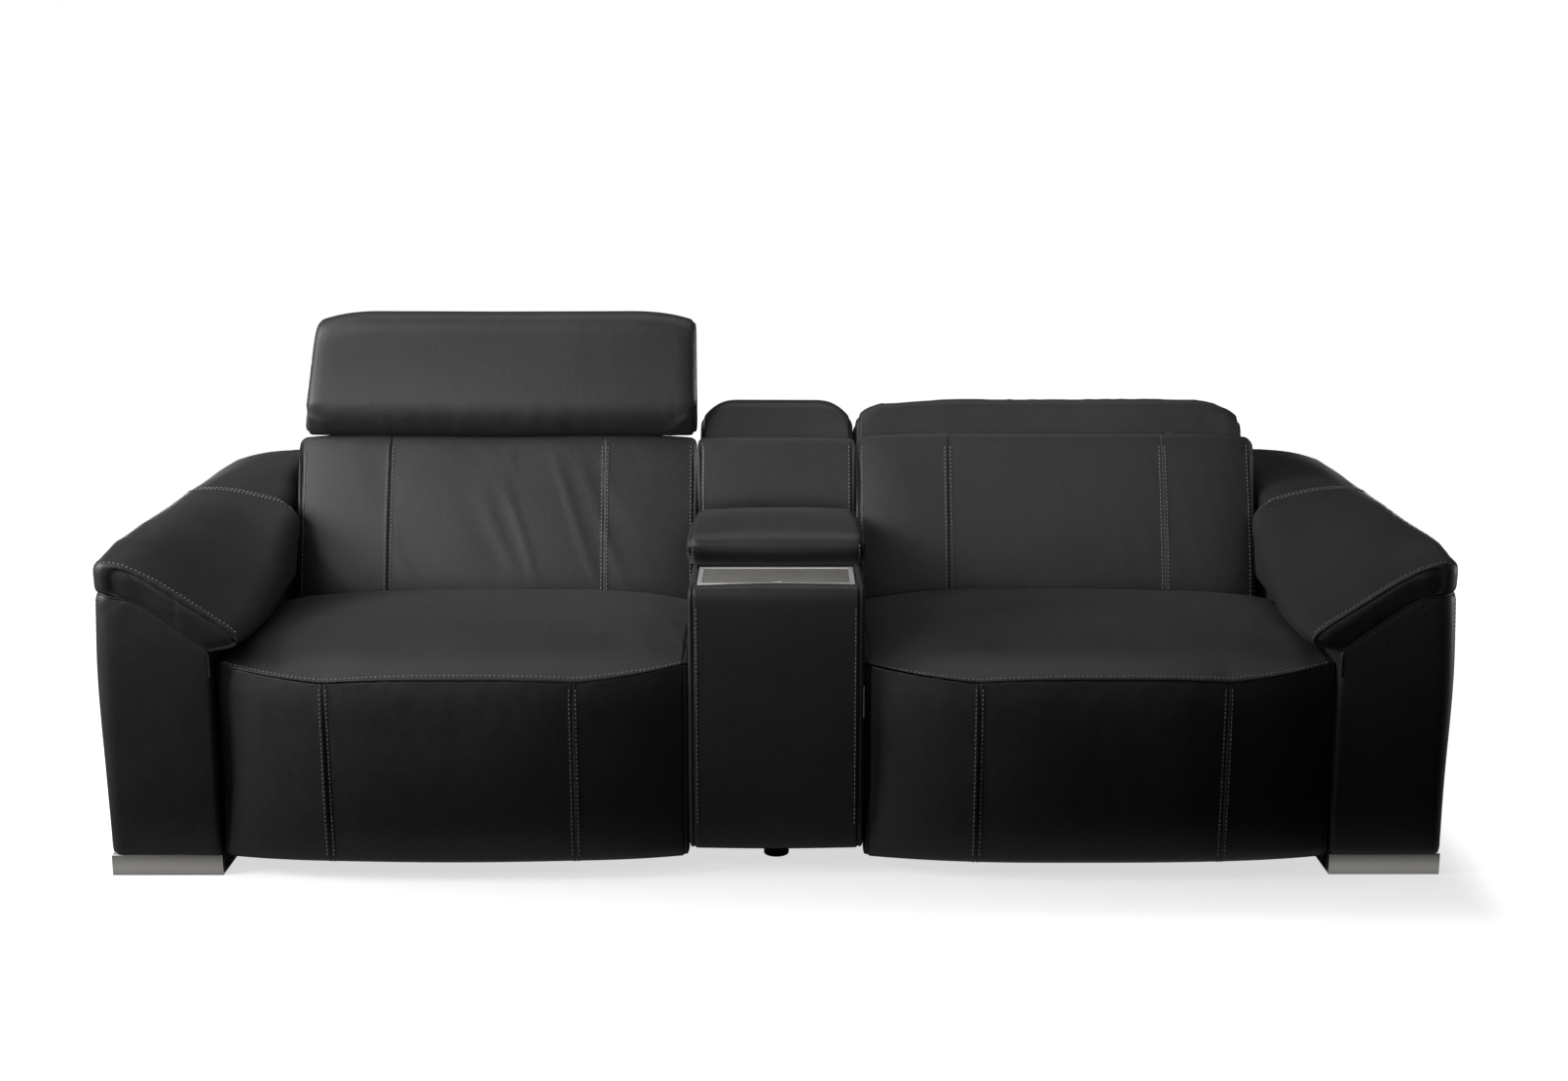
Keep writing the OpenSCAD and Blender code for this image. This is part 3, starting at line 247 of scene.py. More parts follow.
@dataclass(frozen=True)
class Leather:
    """Dyed cowhide with a pebbled grain, fine creases and a soft sheen."""

    base: Colour = (0.0175, 0.0175, 0.0185)
    rubbed: Colour = (0.0265, 0.0265, 0.0280)
    pebble: float = 620.0
    roughness: float = 0.50

    def material(self) -> bpy.types.Material:
        """The leather's material."""
        g = Graph("black_leather")
        seam = g.attribute("seam")
        patches = g.noise(5.0, 2.0)
        mottle = g.noise(60.0, 4.0, 0.6)
        pores = g.cells(self.pebble)
        creases = g.noise(110.0, 5.0, 0.62, g.stretched((1.0, 0.8, 0.55)))
        tone = (patches * 0.6 + mottle * 0.4).ramp(0.3, 0.72)
        # Deeper in the seams the colour blends towards a darker tone: painted shade in the seam grooves.
        colour = g.blend(g.blend(self.base, self.rubbed, tone), toned(self.base, 0.45), seam * 0.8)
        rough = self.roughness + (mottle - 0.5) * 0.1 + (patches - 0.5) * 0.06 + seam * 0.12
        folds = g.bump(creases, 0.0012, 0.32)
        grain = g.bump(pores, 0.0005, 0.35, folds)
        return g.surface(
            Base_Color=colour, Roughness=rough, Normal=grain,
            Specular_IOR_Level=0.36, Sheen_Weight=0.03, Sheen_Roughness=0.5,
        )


@dataclass(frozen=True)
class Thread:
    """Waxed polyester thread, a little lighter than the leather."""

    base: Colour = (0.15, 0.15, 0.155)
    twist: float = 900.0

    def material(self) -> bpy.types.Material:
        """The thread's material."""
        g = Graph("grey_thread")
        fuzz = g.noise(self.twist, 2.0)
        colour = g.blend(toned(self.base, 0.6), toned(self.base, 1.35), fuzz)
        return g.surface(Base_Color=colour, Roughness=0.45 + fuzz * 0.2, Normal=g.bump(fuzz, 0.0003, 0.5))


@dataclass(frozen=True)
class BrushedMetal:
    """Metal ground in one direction, with fine scratches and smudges."""

    name: str
    base: Colour
    roughness: float = 0.34
    along: tuple[float, float, float] = (240.0, 5.0, 60.0)
    haze: float = 0.0

    def material(self) -> bpy.types.Material:
        """The metal's material."""
        g = Graph(self.name)
        lines = g.noise(4.0, 6.0, 0.7, g.stretched(self.along))
        smudge = g.noise(9.0, 3.0)
        colour = g.blend(toned(self.base, 0.84), toned(self.base, 1.1), lines)
        rough = self.roughness + (lines - 0.5) * 0.18 + (smudge - 0.5) * 0.1
        return g.surface(Base_Color=colour, Metallic=1 - self.haze, Roughness=rough, Normal=g.bump(lines, 0.0003, 0.25))


@dataclass(frozen=True)
class Moulding:
    """Injection-moulded plastic with a fine spark-eroded texture."""

    name: str
    base: Colour
    roughness: float
    texture: float = 0.3

    def material(self) -> bpy.types.Material:
        """The plastic's material."""
        g = Graph(self.name)
        grain = g.noise(1400.0, 2.0)
        haze = g.noise(25.0, 3.0)
        colour = g.blend(toned(self.base, 0.85), toned(self.base, 1.2), haze)
        rough = self.roughness + (grain - 0.5) * 0.12 + (haze - 0.5) * 0.08
        return g.surface(Base_Color=colour, Roughness=rough, Normal=g.bump(grain, 0.0002, self.texture))


@dataclass(frozen=True)
class PowderCoat:
    """Black powder-coated steel with a slight orange-peel surface."""

    base: Colour = (0.022, 0.022, 0.024)

    def material(self) -> bpy.types.Material:
        """The coating's material."""
        g = Graph("powder_coat")
        peel = g.cells(420.0)
        dust = g.noise(12.0, 4.0)
        colour = g.blend(self.base, toned(self.base, 1.9), dust.ramp(0.45, 0.8))
        return g.surface(Base_Color=colour, Roughness=0.4 + dust * 0.25, Normal=g.bump(peel, 0.0004, 0.3))


@dataclass(frozen=True)
class Plywood:
    """Birch plywood and planed rails, with a long grain and rings."""

    light: Colour = (0.62, 0.44, 0.26)
    dark: Colour = (0.40, 0.25, 0.13)

    def material(self) -> bpy.types.Material:
        """The wood's material."""
        g = Graph("plain_timber")
        fibre = g.noise(5.0, 6.0, 0.65, g.stretched((1.6, 26.0, 26.0)))
        rings = g.noise(3.0, 2.0, 0.5, g.stretched((0.5, 6.0, 6.0)))
        pores = g.noise(60.0, 3.0, 0.6, g.stretched((0.6, 8.0, 8.0)))
        tone = (fibre * 0.55 + rings * 0.45).ramp(0.32, 0.68)
        colour = g.blend(self.light, self.dark, tone * 0.75 + pores * 0.12)
        return g.surface(Base_Color=colour, Roughness=0.55 + pores * 0.2, Normal=g.bump(fibre, 0.0005, 0.35))


class Finish(Enum):
    """The sofa's finishes, each with the record's slot that it belongs to."""

    LEATHER = ("leather", Leather())
    THREAD = ("leather", Thread())
    RIM = ("nickel", BrushedMetal("polished_nickel", (0.90, 0.88, 0.84), 0.46, haze=0.12))
    NICKEL = ("nickel", BrushedMetal("brushed_nickel", (0.60, 0.585, 0.55), 0.42, haze=0.06))
    PLASTIC = ("plastic", Moulding("black_plastic", (0.022, 0.022, 0.024), 0.5))
    SWITCH = ("switch_plastic", Moulding("switch_plastic", (0.045, 0.045, 0.05), 0.26, 0.08))
    TIMBER = ("timber", Plywood())
    STEEL = ("dark_steel", PowderCoat())
    ROD = ("rod_steel", BrushedMetal("bright_rod", (0.58, 0.58, 0.6), 0.22, (240.0, 5.0, 240.0)))

    @property
    def slot(self) -> str:
        """The record's material slot."""
        return self.value[0]

    def material(self) -> bpy.types.Material:
        """This finish's material, made once."""
        name = f"finish_{self.name.lower()}"
        found = bpy.data.materials.get(name)
        if found is None:
            found = self.value[1].material()
            found.name = name
        return found


def smooth(t: Array | float) -> Array:
    """Smooth step of t, held between 0 and 1."""
    t = np.clip(t, 0.0, 1.0)
    return t * t * (3 - 2 * t)


def deselect() -> None:
    """Leaves nothing selected."""
    for thing in bpy.context.selected_objects:
        thing.select_set(False)


def activate(piece: bpy.types.Object) -> None:
    """Makes a piece the only selected and active object."""
    deselect()
    piece.select_set(True)
    bpy.context.view_layer.objects.active = piece


def apply_modifier(piece: bpy.types.Object, kind: str, **settings: object) -> None:
    """Adds a modifier to a piece and applies it."""
    activate(piece)
    modifier = piece.modifiers.new(kind.title(), kind)
    for key, value in settings.items():
        setattr(modifier, key, value)
    bpy.ops.object.modifier_apply(modifier=modifier.name)


def dress(piece: bpy.types.Object, finish: Finish) -> None:
    """Gives a new piece one finish all over."""
    piece.data.materials.clear()
    piece.data.materials.append(finish.material())


def from_arrays(name: str, points: Array, faces: list, seam: Array | None = None) -> bpy.types.Object:
    """A smooth-shaded object from points and faces.

    Args:
        name: the piece's name.
        points: its points, in metres.
        faces: indices of each face's points.
        seam: how deep in a seam each point lies, from 0 to 1.

    Returns:
        The linked object, at the origin.
    """
    mesh = bpy.data.meshes.new(name)
    mesh.from_pydata(points.tolist(), [], faces)
    attribute = mesh.attributes.new("seam", "FLOAT", "POINT")
    attribute.data.foreach_set("value", np.zeros(len(points)) if seam is None else seam)
    mesh.shade_smooth()
    piece = bpy.data.objects.new(name, mesh)
    bpy.context.scene.collection.objects.link(piece)
    return piece


class Lattice:
    """Seeded smooth noise over a plane, from -1 to 1."""

    SIZE = 64

    def __init__(self, seed: int) -> None:
        """Draws the lattice's values."""
        self.table = np.random.default_rng(seed).uniform(-1, 1, (self.SIZE, self.SIZE))

    def __call__(self, a: Array, b: Array | float = 0.0) -> Array:
        """The noise at places counted in lattice steps."""
        a, b = np.broadcast_arrays(a, b)
        i, j = np.floor(a).astype(int), np.floor(b).astype(int)
        s, t = smooth(a - i), smooth(b - j)

        def pick(p: int, q: int) -> Array:
            """The lattice's values this many steps on."""
            return self.table[(i + p) % self.SIZE, (j + q) % self.SIZE]

        low = pick(0, 0) * (1 - s) + pick(1, 0) * s
        high = pick(0, 1) * (1 - s) + pick(1, 1) * s
        return low * (1 - t) + high * t


def end_cut(x: Array, half: float, radius: float) -> Array:
    """How far an outline draws in at x, for ends rounded by a radius."""
    e = np.clip(np.abs(x) - half + radius, 0.0, radius)
    return radius - np.sqrt(radius * radius - e * e)


def shrunk(outline: Array, amount: Array) -> Array:
    """Outlines (n, m, 2) drawn in towards their middles by an amount each."""
    low, high = outline.min(1, keepdims=True), outline.max(1, keepdims=True)
    mid, half = (low + high) / 2, (high - low) / 2
    return mid + (outline - mid) * (1 - amount[:, None, None] / half)


def stations(half: float, radius: float, seams: Iterable[float] = (), spacing: float = 0.0085) -> Array:
    """Places along a cushion, closer at its rounded ends and beside its seams.

    Args:
        half: half the cushion's length.
        radius: radius of its rounded ends.
        seams: places of seams that cross it.
        spacing: distance of places elsewhere.

    Returns:
        The places in order.
    """
    near = np.array([0.0, 0.0011, 0.0023, 0.0038, 0.0055, 0.0072, 0.0095, 0.0125])
    clear, closest = 0.0009, 0.0006
    turn = half - radius + radius * np.sin(np.linspace(0, math.pi / 2, 8))
    count = int(2 * (half - radius) / spacing)
    plain = np.linspace(-(half - radius), half - radius, count)
    close = [s + side * near for s in seams for side in (-1, 1)]
    for s in seams:
        plain = plain[np.abs(plain - s) > near[-1] + 0.3 * spacing]
        turn = turn[(np.abs(turn - abs(s)) > clear) | (turn == half)]
    places = np.unique(np.concatenate([plain, turn, -turn, *close]))
    places = places[np.abs(places) <= half]
    keep = np.concatenate([[True], np.diff(places) > closest])
    keep[-1] = True
    return places[keep]


def outlines(corners: Array, spacing: float) -> Array:
    """Closed outlines with rounded corners and one point count at all stations.

    Args:
        corners: for each station and corner, two coordinates, the cut length and the coarseness from it on.
        spacing: distance between points where the coarseness is 1.

    Returns:
        Points as an array (stations, around, 2).
    """
    points, cuts = corners[..., :2], corners[..., 2]

    def towards(target: Array) -> Array:
        """Where each corner's rounding begins on the way to a neighbour."""
        way = target - points
        length = np.linalg.norm(way, axis=-1)
        return points + way * np.minimum(cuts / length, 0.49)[..., None]

    start, end = towards(np.roll(points, 1, 1)), towards(np.roll(points, -1, 1))
    following = np.roll(start, -1, 1)
    parts = []
    for i in range(points.shape[1]):
        step = spacing * corners[0, i, 3]
        arc = max(3, math.ceil(cuts[:, i].max() * 1.5 / step))
        t = np.linspace(0, 1, arc + 1)[None, :, None]
        parts.append(start[:, i, None] * (1 - t) ** 2 + points[:, i, None] * 2 * t * (1 - t) + end[:, i, None] * t**2)
        length = np.linalg.norm(following[:, i] - end[:, i], axis=-1).max()
        t = np.linspace(0, 1, math.ceil(length / step) + 1)[None, 1:-1, None]
        parts.append(end[:, i, None] * (1 - t) + following[:, i, None] * t)
    return np.concatenate(parts, 1)


def lofted(at: Array, half: float, radius: float, corners: list[tuple], spacing: float = 0.0075) -> Array:
    """Outlines along a cushion, drawn in at its rounded ends.

    Args:
        at: the stations, counted from the cushion's middle.
        half: half the cushion's length.
        radius: radius of its rounded ends, or 0.
        corners: for each corner two coordinates, the cut length and the coarseness, as numbers or one for each station.
        spacing: distance between points where the coarseness is 1.

    Returns:
        Points as an array (stations, around, 2).
    """
    table = np.stack([np.stack([np.broadcast_to(v, at.shape) for v in corner], -1) for corner in corners], 1)
    return shrunk(outlines(table, spacing), end_cut(at, half, radius))


def ringed(place: Array, outline: Array, axis: int = 0) -> Array:
    """Outlines (n, m, 2) as rings (n, m, 3), with their places put in as one axis."""
    parts = [outline[..., 0], outline[..., 1]]
    parts.insert(axis, np.broadcast_to(place, outline.shape[:2]))
    return np.stack(parts, -1)


def tube_faces(rings: int, around: int) -> tuple[Array, list]:
    """Faces of rings of points and of their ends.

    Args:
        rings: the number of rings.
        around: the number of points in each.

    Returns:
        The four-sided faces between the rings, and the fans round the two end points that follow the rings' points.
    """
    i, k = np.meshgrid(np.arange(rings - 1), np.arange(around), indexing="ij")
    here, after = i * around + k, i * around + (k + 1) % around
    quads = np.stack([here, after, after + around, here + around], -1).reshape(-1, 4)
    low, high, last = rings * around, rings * around + 1, (rings - 1) * around
    turns = [(j, (j + 1) % around) for j in range(around)]
    return quads, [[low, q, p] for p, q in turns] + [[high, last + p, last + q] for p, q in turns]


def line(x: Array | float, y: Array | float, z: Array | float) -> Array:
    """Points from their coordinates; a single number holds for all of them."""
    return np.stack(np.broadcast_arrays(x, y, z), -1)


def beside(seam: float) -> list[float]:
    """Places of the rows of stitching beside a pair of felled seams."""
    return [e * seam + k * FELLED.row for e in (-1, 1) for k in (-1, 1)]


@dataclass(frozen=True)
class FelledSeam:
    """Sizes of a seam whose edges are turned in and stitched down on both sides, in metres."""

    row: float = 0.0062
    row_width: float = 0.0014
    row_dip: float = 0.0006
    band: float = 0.0092
    band_edge: float = 0.003
    band_rise: float = 0.0007
    depth: float = 0.0015
    width: float = 0.0011


FELLED = FelledSeam()


class Skin:
    """A leather cover over rings of points, which is pushed in and out along its own normals."""

    CAP = (0.97, 0.92, 0.83, 0.7, 0.52, 0.3, 0.12)

    def __init__(self, rings: Array, dome: float) -> None:
        """Closes the rings with caps.

        Args:
            rings: points as an array (rings, around, 3).
            dome: how far the middle of each cap stands out.
        """
        first, last = self._cap(rings[0], rings[1], dome), self._cap(rings[-1], rings[-2], dome)
        self.points = np.concatenate([first[::-1], rings, last])
        self.rest = self.points.copy()
        self.seam = np.zeros(self.points.shape[:2])

    @property
    def axes(self) -> Array:
        """The coordinates that the points had at first, axis by axis."""
        return np.moveaxis(self.rest, -1, 0)

    def _cap(self, ring: Array, inner: Array, dome: float) -> Array:
        """Rings that close an end."""
        middle = ring.mean(0)
        out = middle - inner.mean(0)
        out /= np.linalg.norm(out)
        return np.stack([middle + (ring - middle) * f + out * dome * (1 - f**2) for f in self.CAP])

    def normals(self) -> Array:
        """Outward unit normals."""
        along = np.gradient(self.points, axis=0)
        around = np.roll(self.points, -1, 1) - np.roll(self.points, 1, 1)
        normal = np.cross(around, along)
        normal /= np.linalg.norm(normal, axis=-1, keepdims=True) + 1e-12
        outward = ((self.points - self.points.mean((0, 1))) * normal).sum()
        return normal * np.sign(outward)

    def push(self, amount: Array) -> None:
        """Moves each point along its normal."""
        self.points = self.points + self.normals() * amount[..., None]

    def groove(self, distance: Array, depth: float, width: float, mask: Array | float = 1.0) -> None:
        """Sinks a seam.

        Args:
            distance: distance of each point from the seam's line.
            depth: depth of the seam.
            width: its half width.
            mask: where the seam runs, from 0 to 1.
        """
        shape = np.exp(-((distance / width) ** 2)) * mask
        self.push(-depth * shape)
        self.seam = np.maximum(self.seam, shape)

    def felled(self, distance: Array, mask: Array) -> None:
        """A seam with a row of stitching on each side, over its turned-in edges."""
        away = np.abs(distance)
        band = smooth((FELLED.band - away) / FELLED.band_edge)
        sunk = np.exp(-(((away - FELLED.row) / FELLED.row_width) ** 2))
        self.push((FELLED.band_rise * band - FELLED.row_dip * sunk) * mask)
        self.groove(distance, FELLED.depth, FELLED.width, mask)

    def edge_seam(self, distance: Array, mask: Array | float) -> None:
        """The seam between a face and its side, drawn in."""
        self.groove(distance, 0.0032, 0.0026, mask)

    def side_seams(self, edge: float, gathers: tuple[float, float, float], seed: int, mask: Array | float) -> None:
        """The seams of both ends, with gathers beside them.

        Args:
            edge: their distance from the middle.
            gathers: reach, spacing and height of the gathers.
            seed: seed of the noise.
            mask: where the seams run, from 0 to 1.
        """
        x, _, z = self.axes
        self.ripple(np.abs(x) - edge, z, *gathers, seed)
        self.edge_seam(np.abs(x) - edge, mask)

    def panel_seams(self, at: float, gathers: tuple[float, float, float], seed: int, mask: Array) -> None:
        """Two felled seams that run up the face, with gathers beside them.

        Args:
            at: their distance from the middle.
            gathers: reach, spacing and height of the gathers.
            seed: seed of the noise, one less and one more.
            mask: where the seams run, from 0 to 1.
        """
        x, _, z = self.axes
        for e in (-1, 1):
            self.ripple(x - e * at, z, *gathers, seed + e)
            self.felled(x - e * at, mask)

    def ripple(self, distance: Array, along: Array, reach: float, size: float, depth: float, seed: int) -> None:
        """Small gathers that run away from a seam.

        Args:
            distance: distance of each point from the seam.
            along: place along the seam.
            reach: how far the gathers run.
            size: their spacing.
            depth: their height.
            seed: seed of the noise.
        """
        noise = Lattice(seed)
        wave = noise(along / size, distance / (reach * 1.4)) + 0.5 * noise(along / (size * 0.45), 7 + distance / reach)
        self.push(depth * wave * np.exp(-np.abs(distance) / reach))

    def folds(
        self, a: Array, b: Array, turn: float, size: tuple[float, float], depth: float, seed: int, mask: Array
    ) -> None:
        """Soft folds in the leather, longer than they are wide.

        Args:
            a: first coordinate on the surface.
            b: second coordinate on the surface.
            turn: direction of the folds, in degrees from a towards b.
            size: length and width of a fold.
            depth: height of the folds.
            seed: seed of the noise.
            mask: where folds lie, from 0 to 1.
        """
        c, s = math.cos(math.radians(turn)), math.sin(math.radians(turn))
        long, wide = (a * c + b * s) / size[0], (b * c - a * s) / size[1]
        noise, bend = Lattice(seed), Lattice(seed + 1)
        wide = wide + 0.6 * bend(long * 0.8, wide * 0.3)
        crest = 1 - np.abs(noise(long, wide)) * 2.2
        self.push(depth * (smooth(crest) - 0.35) * mask)

    def flatten(self, half: float) -> None:
        """Keeps the ends within this distance of the middle, so that neighbours stay clear."""
        self.points[..., 0] = np.clip(self.points[..., 0], -half, half)

    def swell(self, a: Array, b: Array, size: float, depth: float, seed: int) -> None:
        """Broad unevenness of the filling."""
        self.push(depth * Lattice(seed)(a / size, b / size))

    def shift(self, x: float) -> None:
        """Moves the cover sideways."""
        self.points = self.points + np.array([x, 0, 0])

    def piece(
        self, name: str, side: Side = Side.RIGHT, drop: Callable[[Array, Array], Array] | None = None
    ) -> bpy.types.Object:
        """Makes the mesh.

        Args:
            name: the piece's name.
            side: the side it belongs to; the left one is mirrored.
            drop: says which faces to leave out, from their middles and normals.

        Returns:
            The object.
        """
        points = np.concatenate([self.points.reshape(-1, 3), [self.points[0].mean(0), self.points[-1].mean(0)]])
        seam = np.concatenate([self.seam.ravel(), [0.0, 0.0]])
        points[:, 0] *= side.value
        quads, fans = tube_faces(*self.points.shape[:2])
        corners = points[quads]
        normal = np.cross(corners[:, 2] - corners[:, 0], corners[:, 3] - corners[:, 1])
        flip = (normal * (corners.mean(1) - points.mean(0))).sum() < 0
        if drop is not None:
            keep = ~drop(corners.mean(1), normal * (-1 if flip else 1))
            quads = quads[keep]
        faces = quads.tolist() + fans
        if flip:
            faces = [face[::-1] for face in faces]
        return from_arrays(name, points, faces, seam)


@dataclass
class Stitching:
    """Rows of thread over a leather piece, made as one piece."""

    pitch: float = 0.0086
    length: float = 0.0063
    width: float = 0.0026
    proud: float = 0.0005
    reach: float = 0.03

    def template(self) -> tuple[Array, list]:
        """One stitch along X, a plump ball drawn out, as points and faces."""
        turn = np.linspace(0, 2 * math.pi, 6, endpoint=False)
        slope = math.pi * np.array([[0.75], [0.5], [0.25]])
        rings = line(np.cos(slope), np.sin(slope) * np.cos(turn), np.sin(slope) * np.sin(turn))
        points = np.concatenate([rings.reshape(-1, 3), [[-1, 0, 0], [1, 0, 0]]])
        points = np.sign(points) * np.abs(points) ** 0.75 / 2
        quads, fans = tube_faces(*rings.shape[:2])
        return points * np.array([self.length, self.width, self.width * 0.9]), quads.tolist() + fans

    def spots(self, row: Array) -> tuple[Array, Array]:
        """Evenly spaced places along a row, with their directions."""
        steps = np.linalg.norm(np.diff(row, axis=0), axis=1)
        run = np.concatenate([[0], np.cumsum(steps)])
        at = np.arange(self.pitch / 2, run[-1], self.pitch)

        def point(way: Array) -> Array:
            """Points this far along the row."""
            return np.stack([np.interp(way, run, row[:, k]) for k in range(3)], -1)

        return point(at), point(at + 0.002) - point(at - 0.002)

    @staticmethod
    def outward(normal: Vector) -> Vector:
        """The axis that a normal points along; X counts only where it clearly leads."""
        axis = 0 if abs(normal.x) > 0.85 else 1 if abs(normal.y) > abs(normal.z) else 2
        away = Vector((0, 0, 0))
        away[axis] = math.copysign(1, normal[axis])
        return away

    def sew(self, name: str, host: bpy.types.Object, rows: list[Array]) -> bpy.types.Object:
        """Sews rows onto a piece.

        Args:
            name: the new piece's name.
            host: the leather piece that they lie on.
            rows: lines of points near its surface.

        Returns:
            The rows of stitches as one object.
        """
        tree = BVHTree.FromPolygons([v.co for v in host.data.vertices], [p.vertices for p in host.data.polygons])
        shape, pattern = self.template()
        points, faces = [], []
        for row in rows:
            for place, way in zip(*self.spots(np.asarray(row))):
                spot, normal, _, gap = tree.find_nearest(Vector(place))
                if spot is None or gap > self.reach:
                    continue
                away = self.outward(normal)
                seen, turned_to, _, _ = tree.ray_cast(Vector(place) + away * self.reach, -away, 2 * self.reach)
                if seen is not None and normal.dot(turned_to) > 0.3:
                    spot, normal = seen, turned_to
                ahead = Vector(way) - normal * normal.dot(Vector(way))
                if ahead.length < 1e-9:
                    continue
                ahead.normalize()
                axes = np.array([ahead, normal.cross(ahead), normal])
                base = len(points) * len(shape)
                points.append(shape @ axes + np.array(spot + normal * self.proud))
                faces += [[base + i for i in face] for face in pattern]
        piece = from_arrays(name, np.concatenate(points), faces)
        dress(piece, Finish.THREAD)
        return piece


def welt(name: str, path: Array, radius: float) -> bpy.types.Object:
    """A covered cord along a line.

    Args:
        name: the piece's name.
        path: the line's points.
        radius: radius of the cord with its cover.

    Returns:
        The cord as a mesh object.
    """
    curve = bpy.data.curves.new(name, "CURVE")
    curve.dimensions = "3D"
    curve.bevel_depth = radius
    curve.bevel_resolution = 2
    curve.use_fill_caps = True
    spline = curve.splines.new("POLY")
    spline.points.add(len(path) - 1)
    spline.points.foreach_set("co", np.concatenate([path, np.ones((len(path), 1))], 1).ravel())
    spline.use_smooth = True
    piece = bpy.data.objects.new(name, curve)
    bpy.context.scene.collection.objects.link(piece)
    activate(piece)
    bpy.ops.object.convert(target="MESH")
    piece = bpy.context.object
    piece.data.shade_smooth()
    attribute = piece.data.attributes.new("seam", "FLOAT", "POINT")
    attribute.data.foreach_set("value", np.zeros(len(piece.data.vertices)))
    dress(piece, Finish.LEATHER)
    return piece


def softened(node: str, width: float, finish: Finish) -> bpy.types.Object:
    """A copy of a rigid node with rounded edges, which stands for the node.

    Args:
        node: the frame's node.
        width: width of the rounded edges.
        finish: the copy's finish.

    Returns:
        The new piece.
    """
    source = FRAME["nodes"][node]
    piece = bpy.data.objects.new(f"{node}_shaped", source.data.copy())
    bpy.context.scene.collection.objects.link(piece)
    activate(piece)
    bpy.ops.object.mode_set(mode="EDIT")
    bpy.ops.mesh.select_all(action="SELECT")
    bpy.ops.mesh.remove_doubles(threshold=1e-5)
    bpy.ops.mesh.dissolve_limited(angle_limit=math.radians(1.0))
    bpy.ops.object.mode_set(mode="OBJECT")
    apply_modifier(
        piece, "BEVEL", width=width, segments=3, limit_method="ANGLE", angle_limit=math.radians(30),
        use_clamp_overlap=True, harden_normals=False,
    )
    bpy.ops.object.shade_smooth_by_angle(angle=math.radians(40))
    dress(piece, finish)
    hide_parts(node)
    return piece


def joint_place(name: str) -> Vector:
    """The point on a joint's axis."""
    found = next(j for j in FRAME["joints"] if j["name"] == name)
    return Vector(found["pos_m"])


def body_of(node: str) -> str:
    """The body that a node belongs to."""
    bodies = FRAME["record"]["behaviour"]["bodies"]
    return next(name for name, nodes in bodies.items() if node in nodes)


@dataclass
class Cover:
    """A finished leather piece with its stitching, welts and the node it stands for."""

    node: str
    piece: bpy.types.Object
    fill: float

    def finish(self, rows: Sequence[Array] = (), welts: Iterable[bpy.types.Object] = ()) -> None:
        """Dresses and mounts the cover, and hides the node it stands for.

        Args:
            rows: lines of stitching on it.
            welts: covered cords that go with it.
        """
        body = body_of(self.node)
        dress(self.piece, Finish.LEATHER)
        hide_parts(self.node)
        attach(self.piece, body)
        if rows:
            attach(Stitching().sew(f"{self.node}_stitches", self.piece, rows), body)
        for cord in welts:
            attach(cord, body)
        LOG.info("%s: %d faces", self.node, len(self.piece.data.polygons))


def at_both(place: float) -> tuple[float, float]:
    """A place and its mirror image."""
    return (-place, place)


def mirrored(rows: Iterable[Array], side: Side) -> list[Array]:
    """Lines shaped for the right side, turned over on the left."""
    return [np.asarray(row) * np.array([side.value, 1, 1]) for row in rows]


def puff(u: Array, seam: float) -> Array:
    """Swell of a panel between sewn seams: 1 in its middle and 0 on a seam."""
    a = np.abs(u)
    inner = 1 - (a / seam) ** 2.6
    outer = 1 - np.abs(1 - (1 - a) / (1 - seam)) ** 2.6
    return np.where(a < seam, inner, outer)


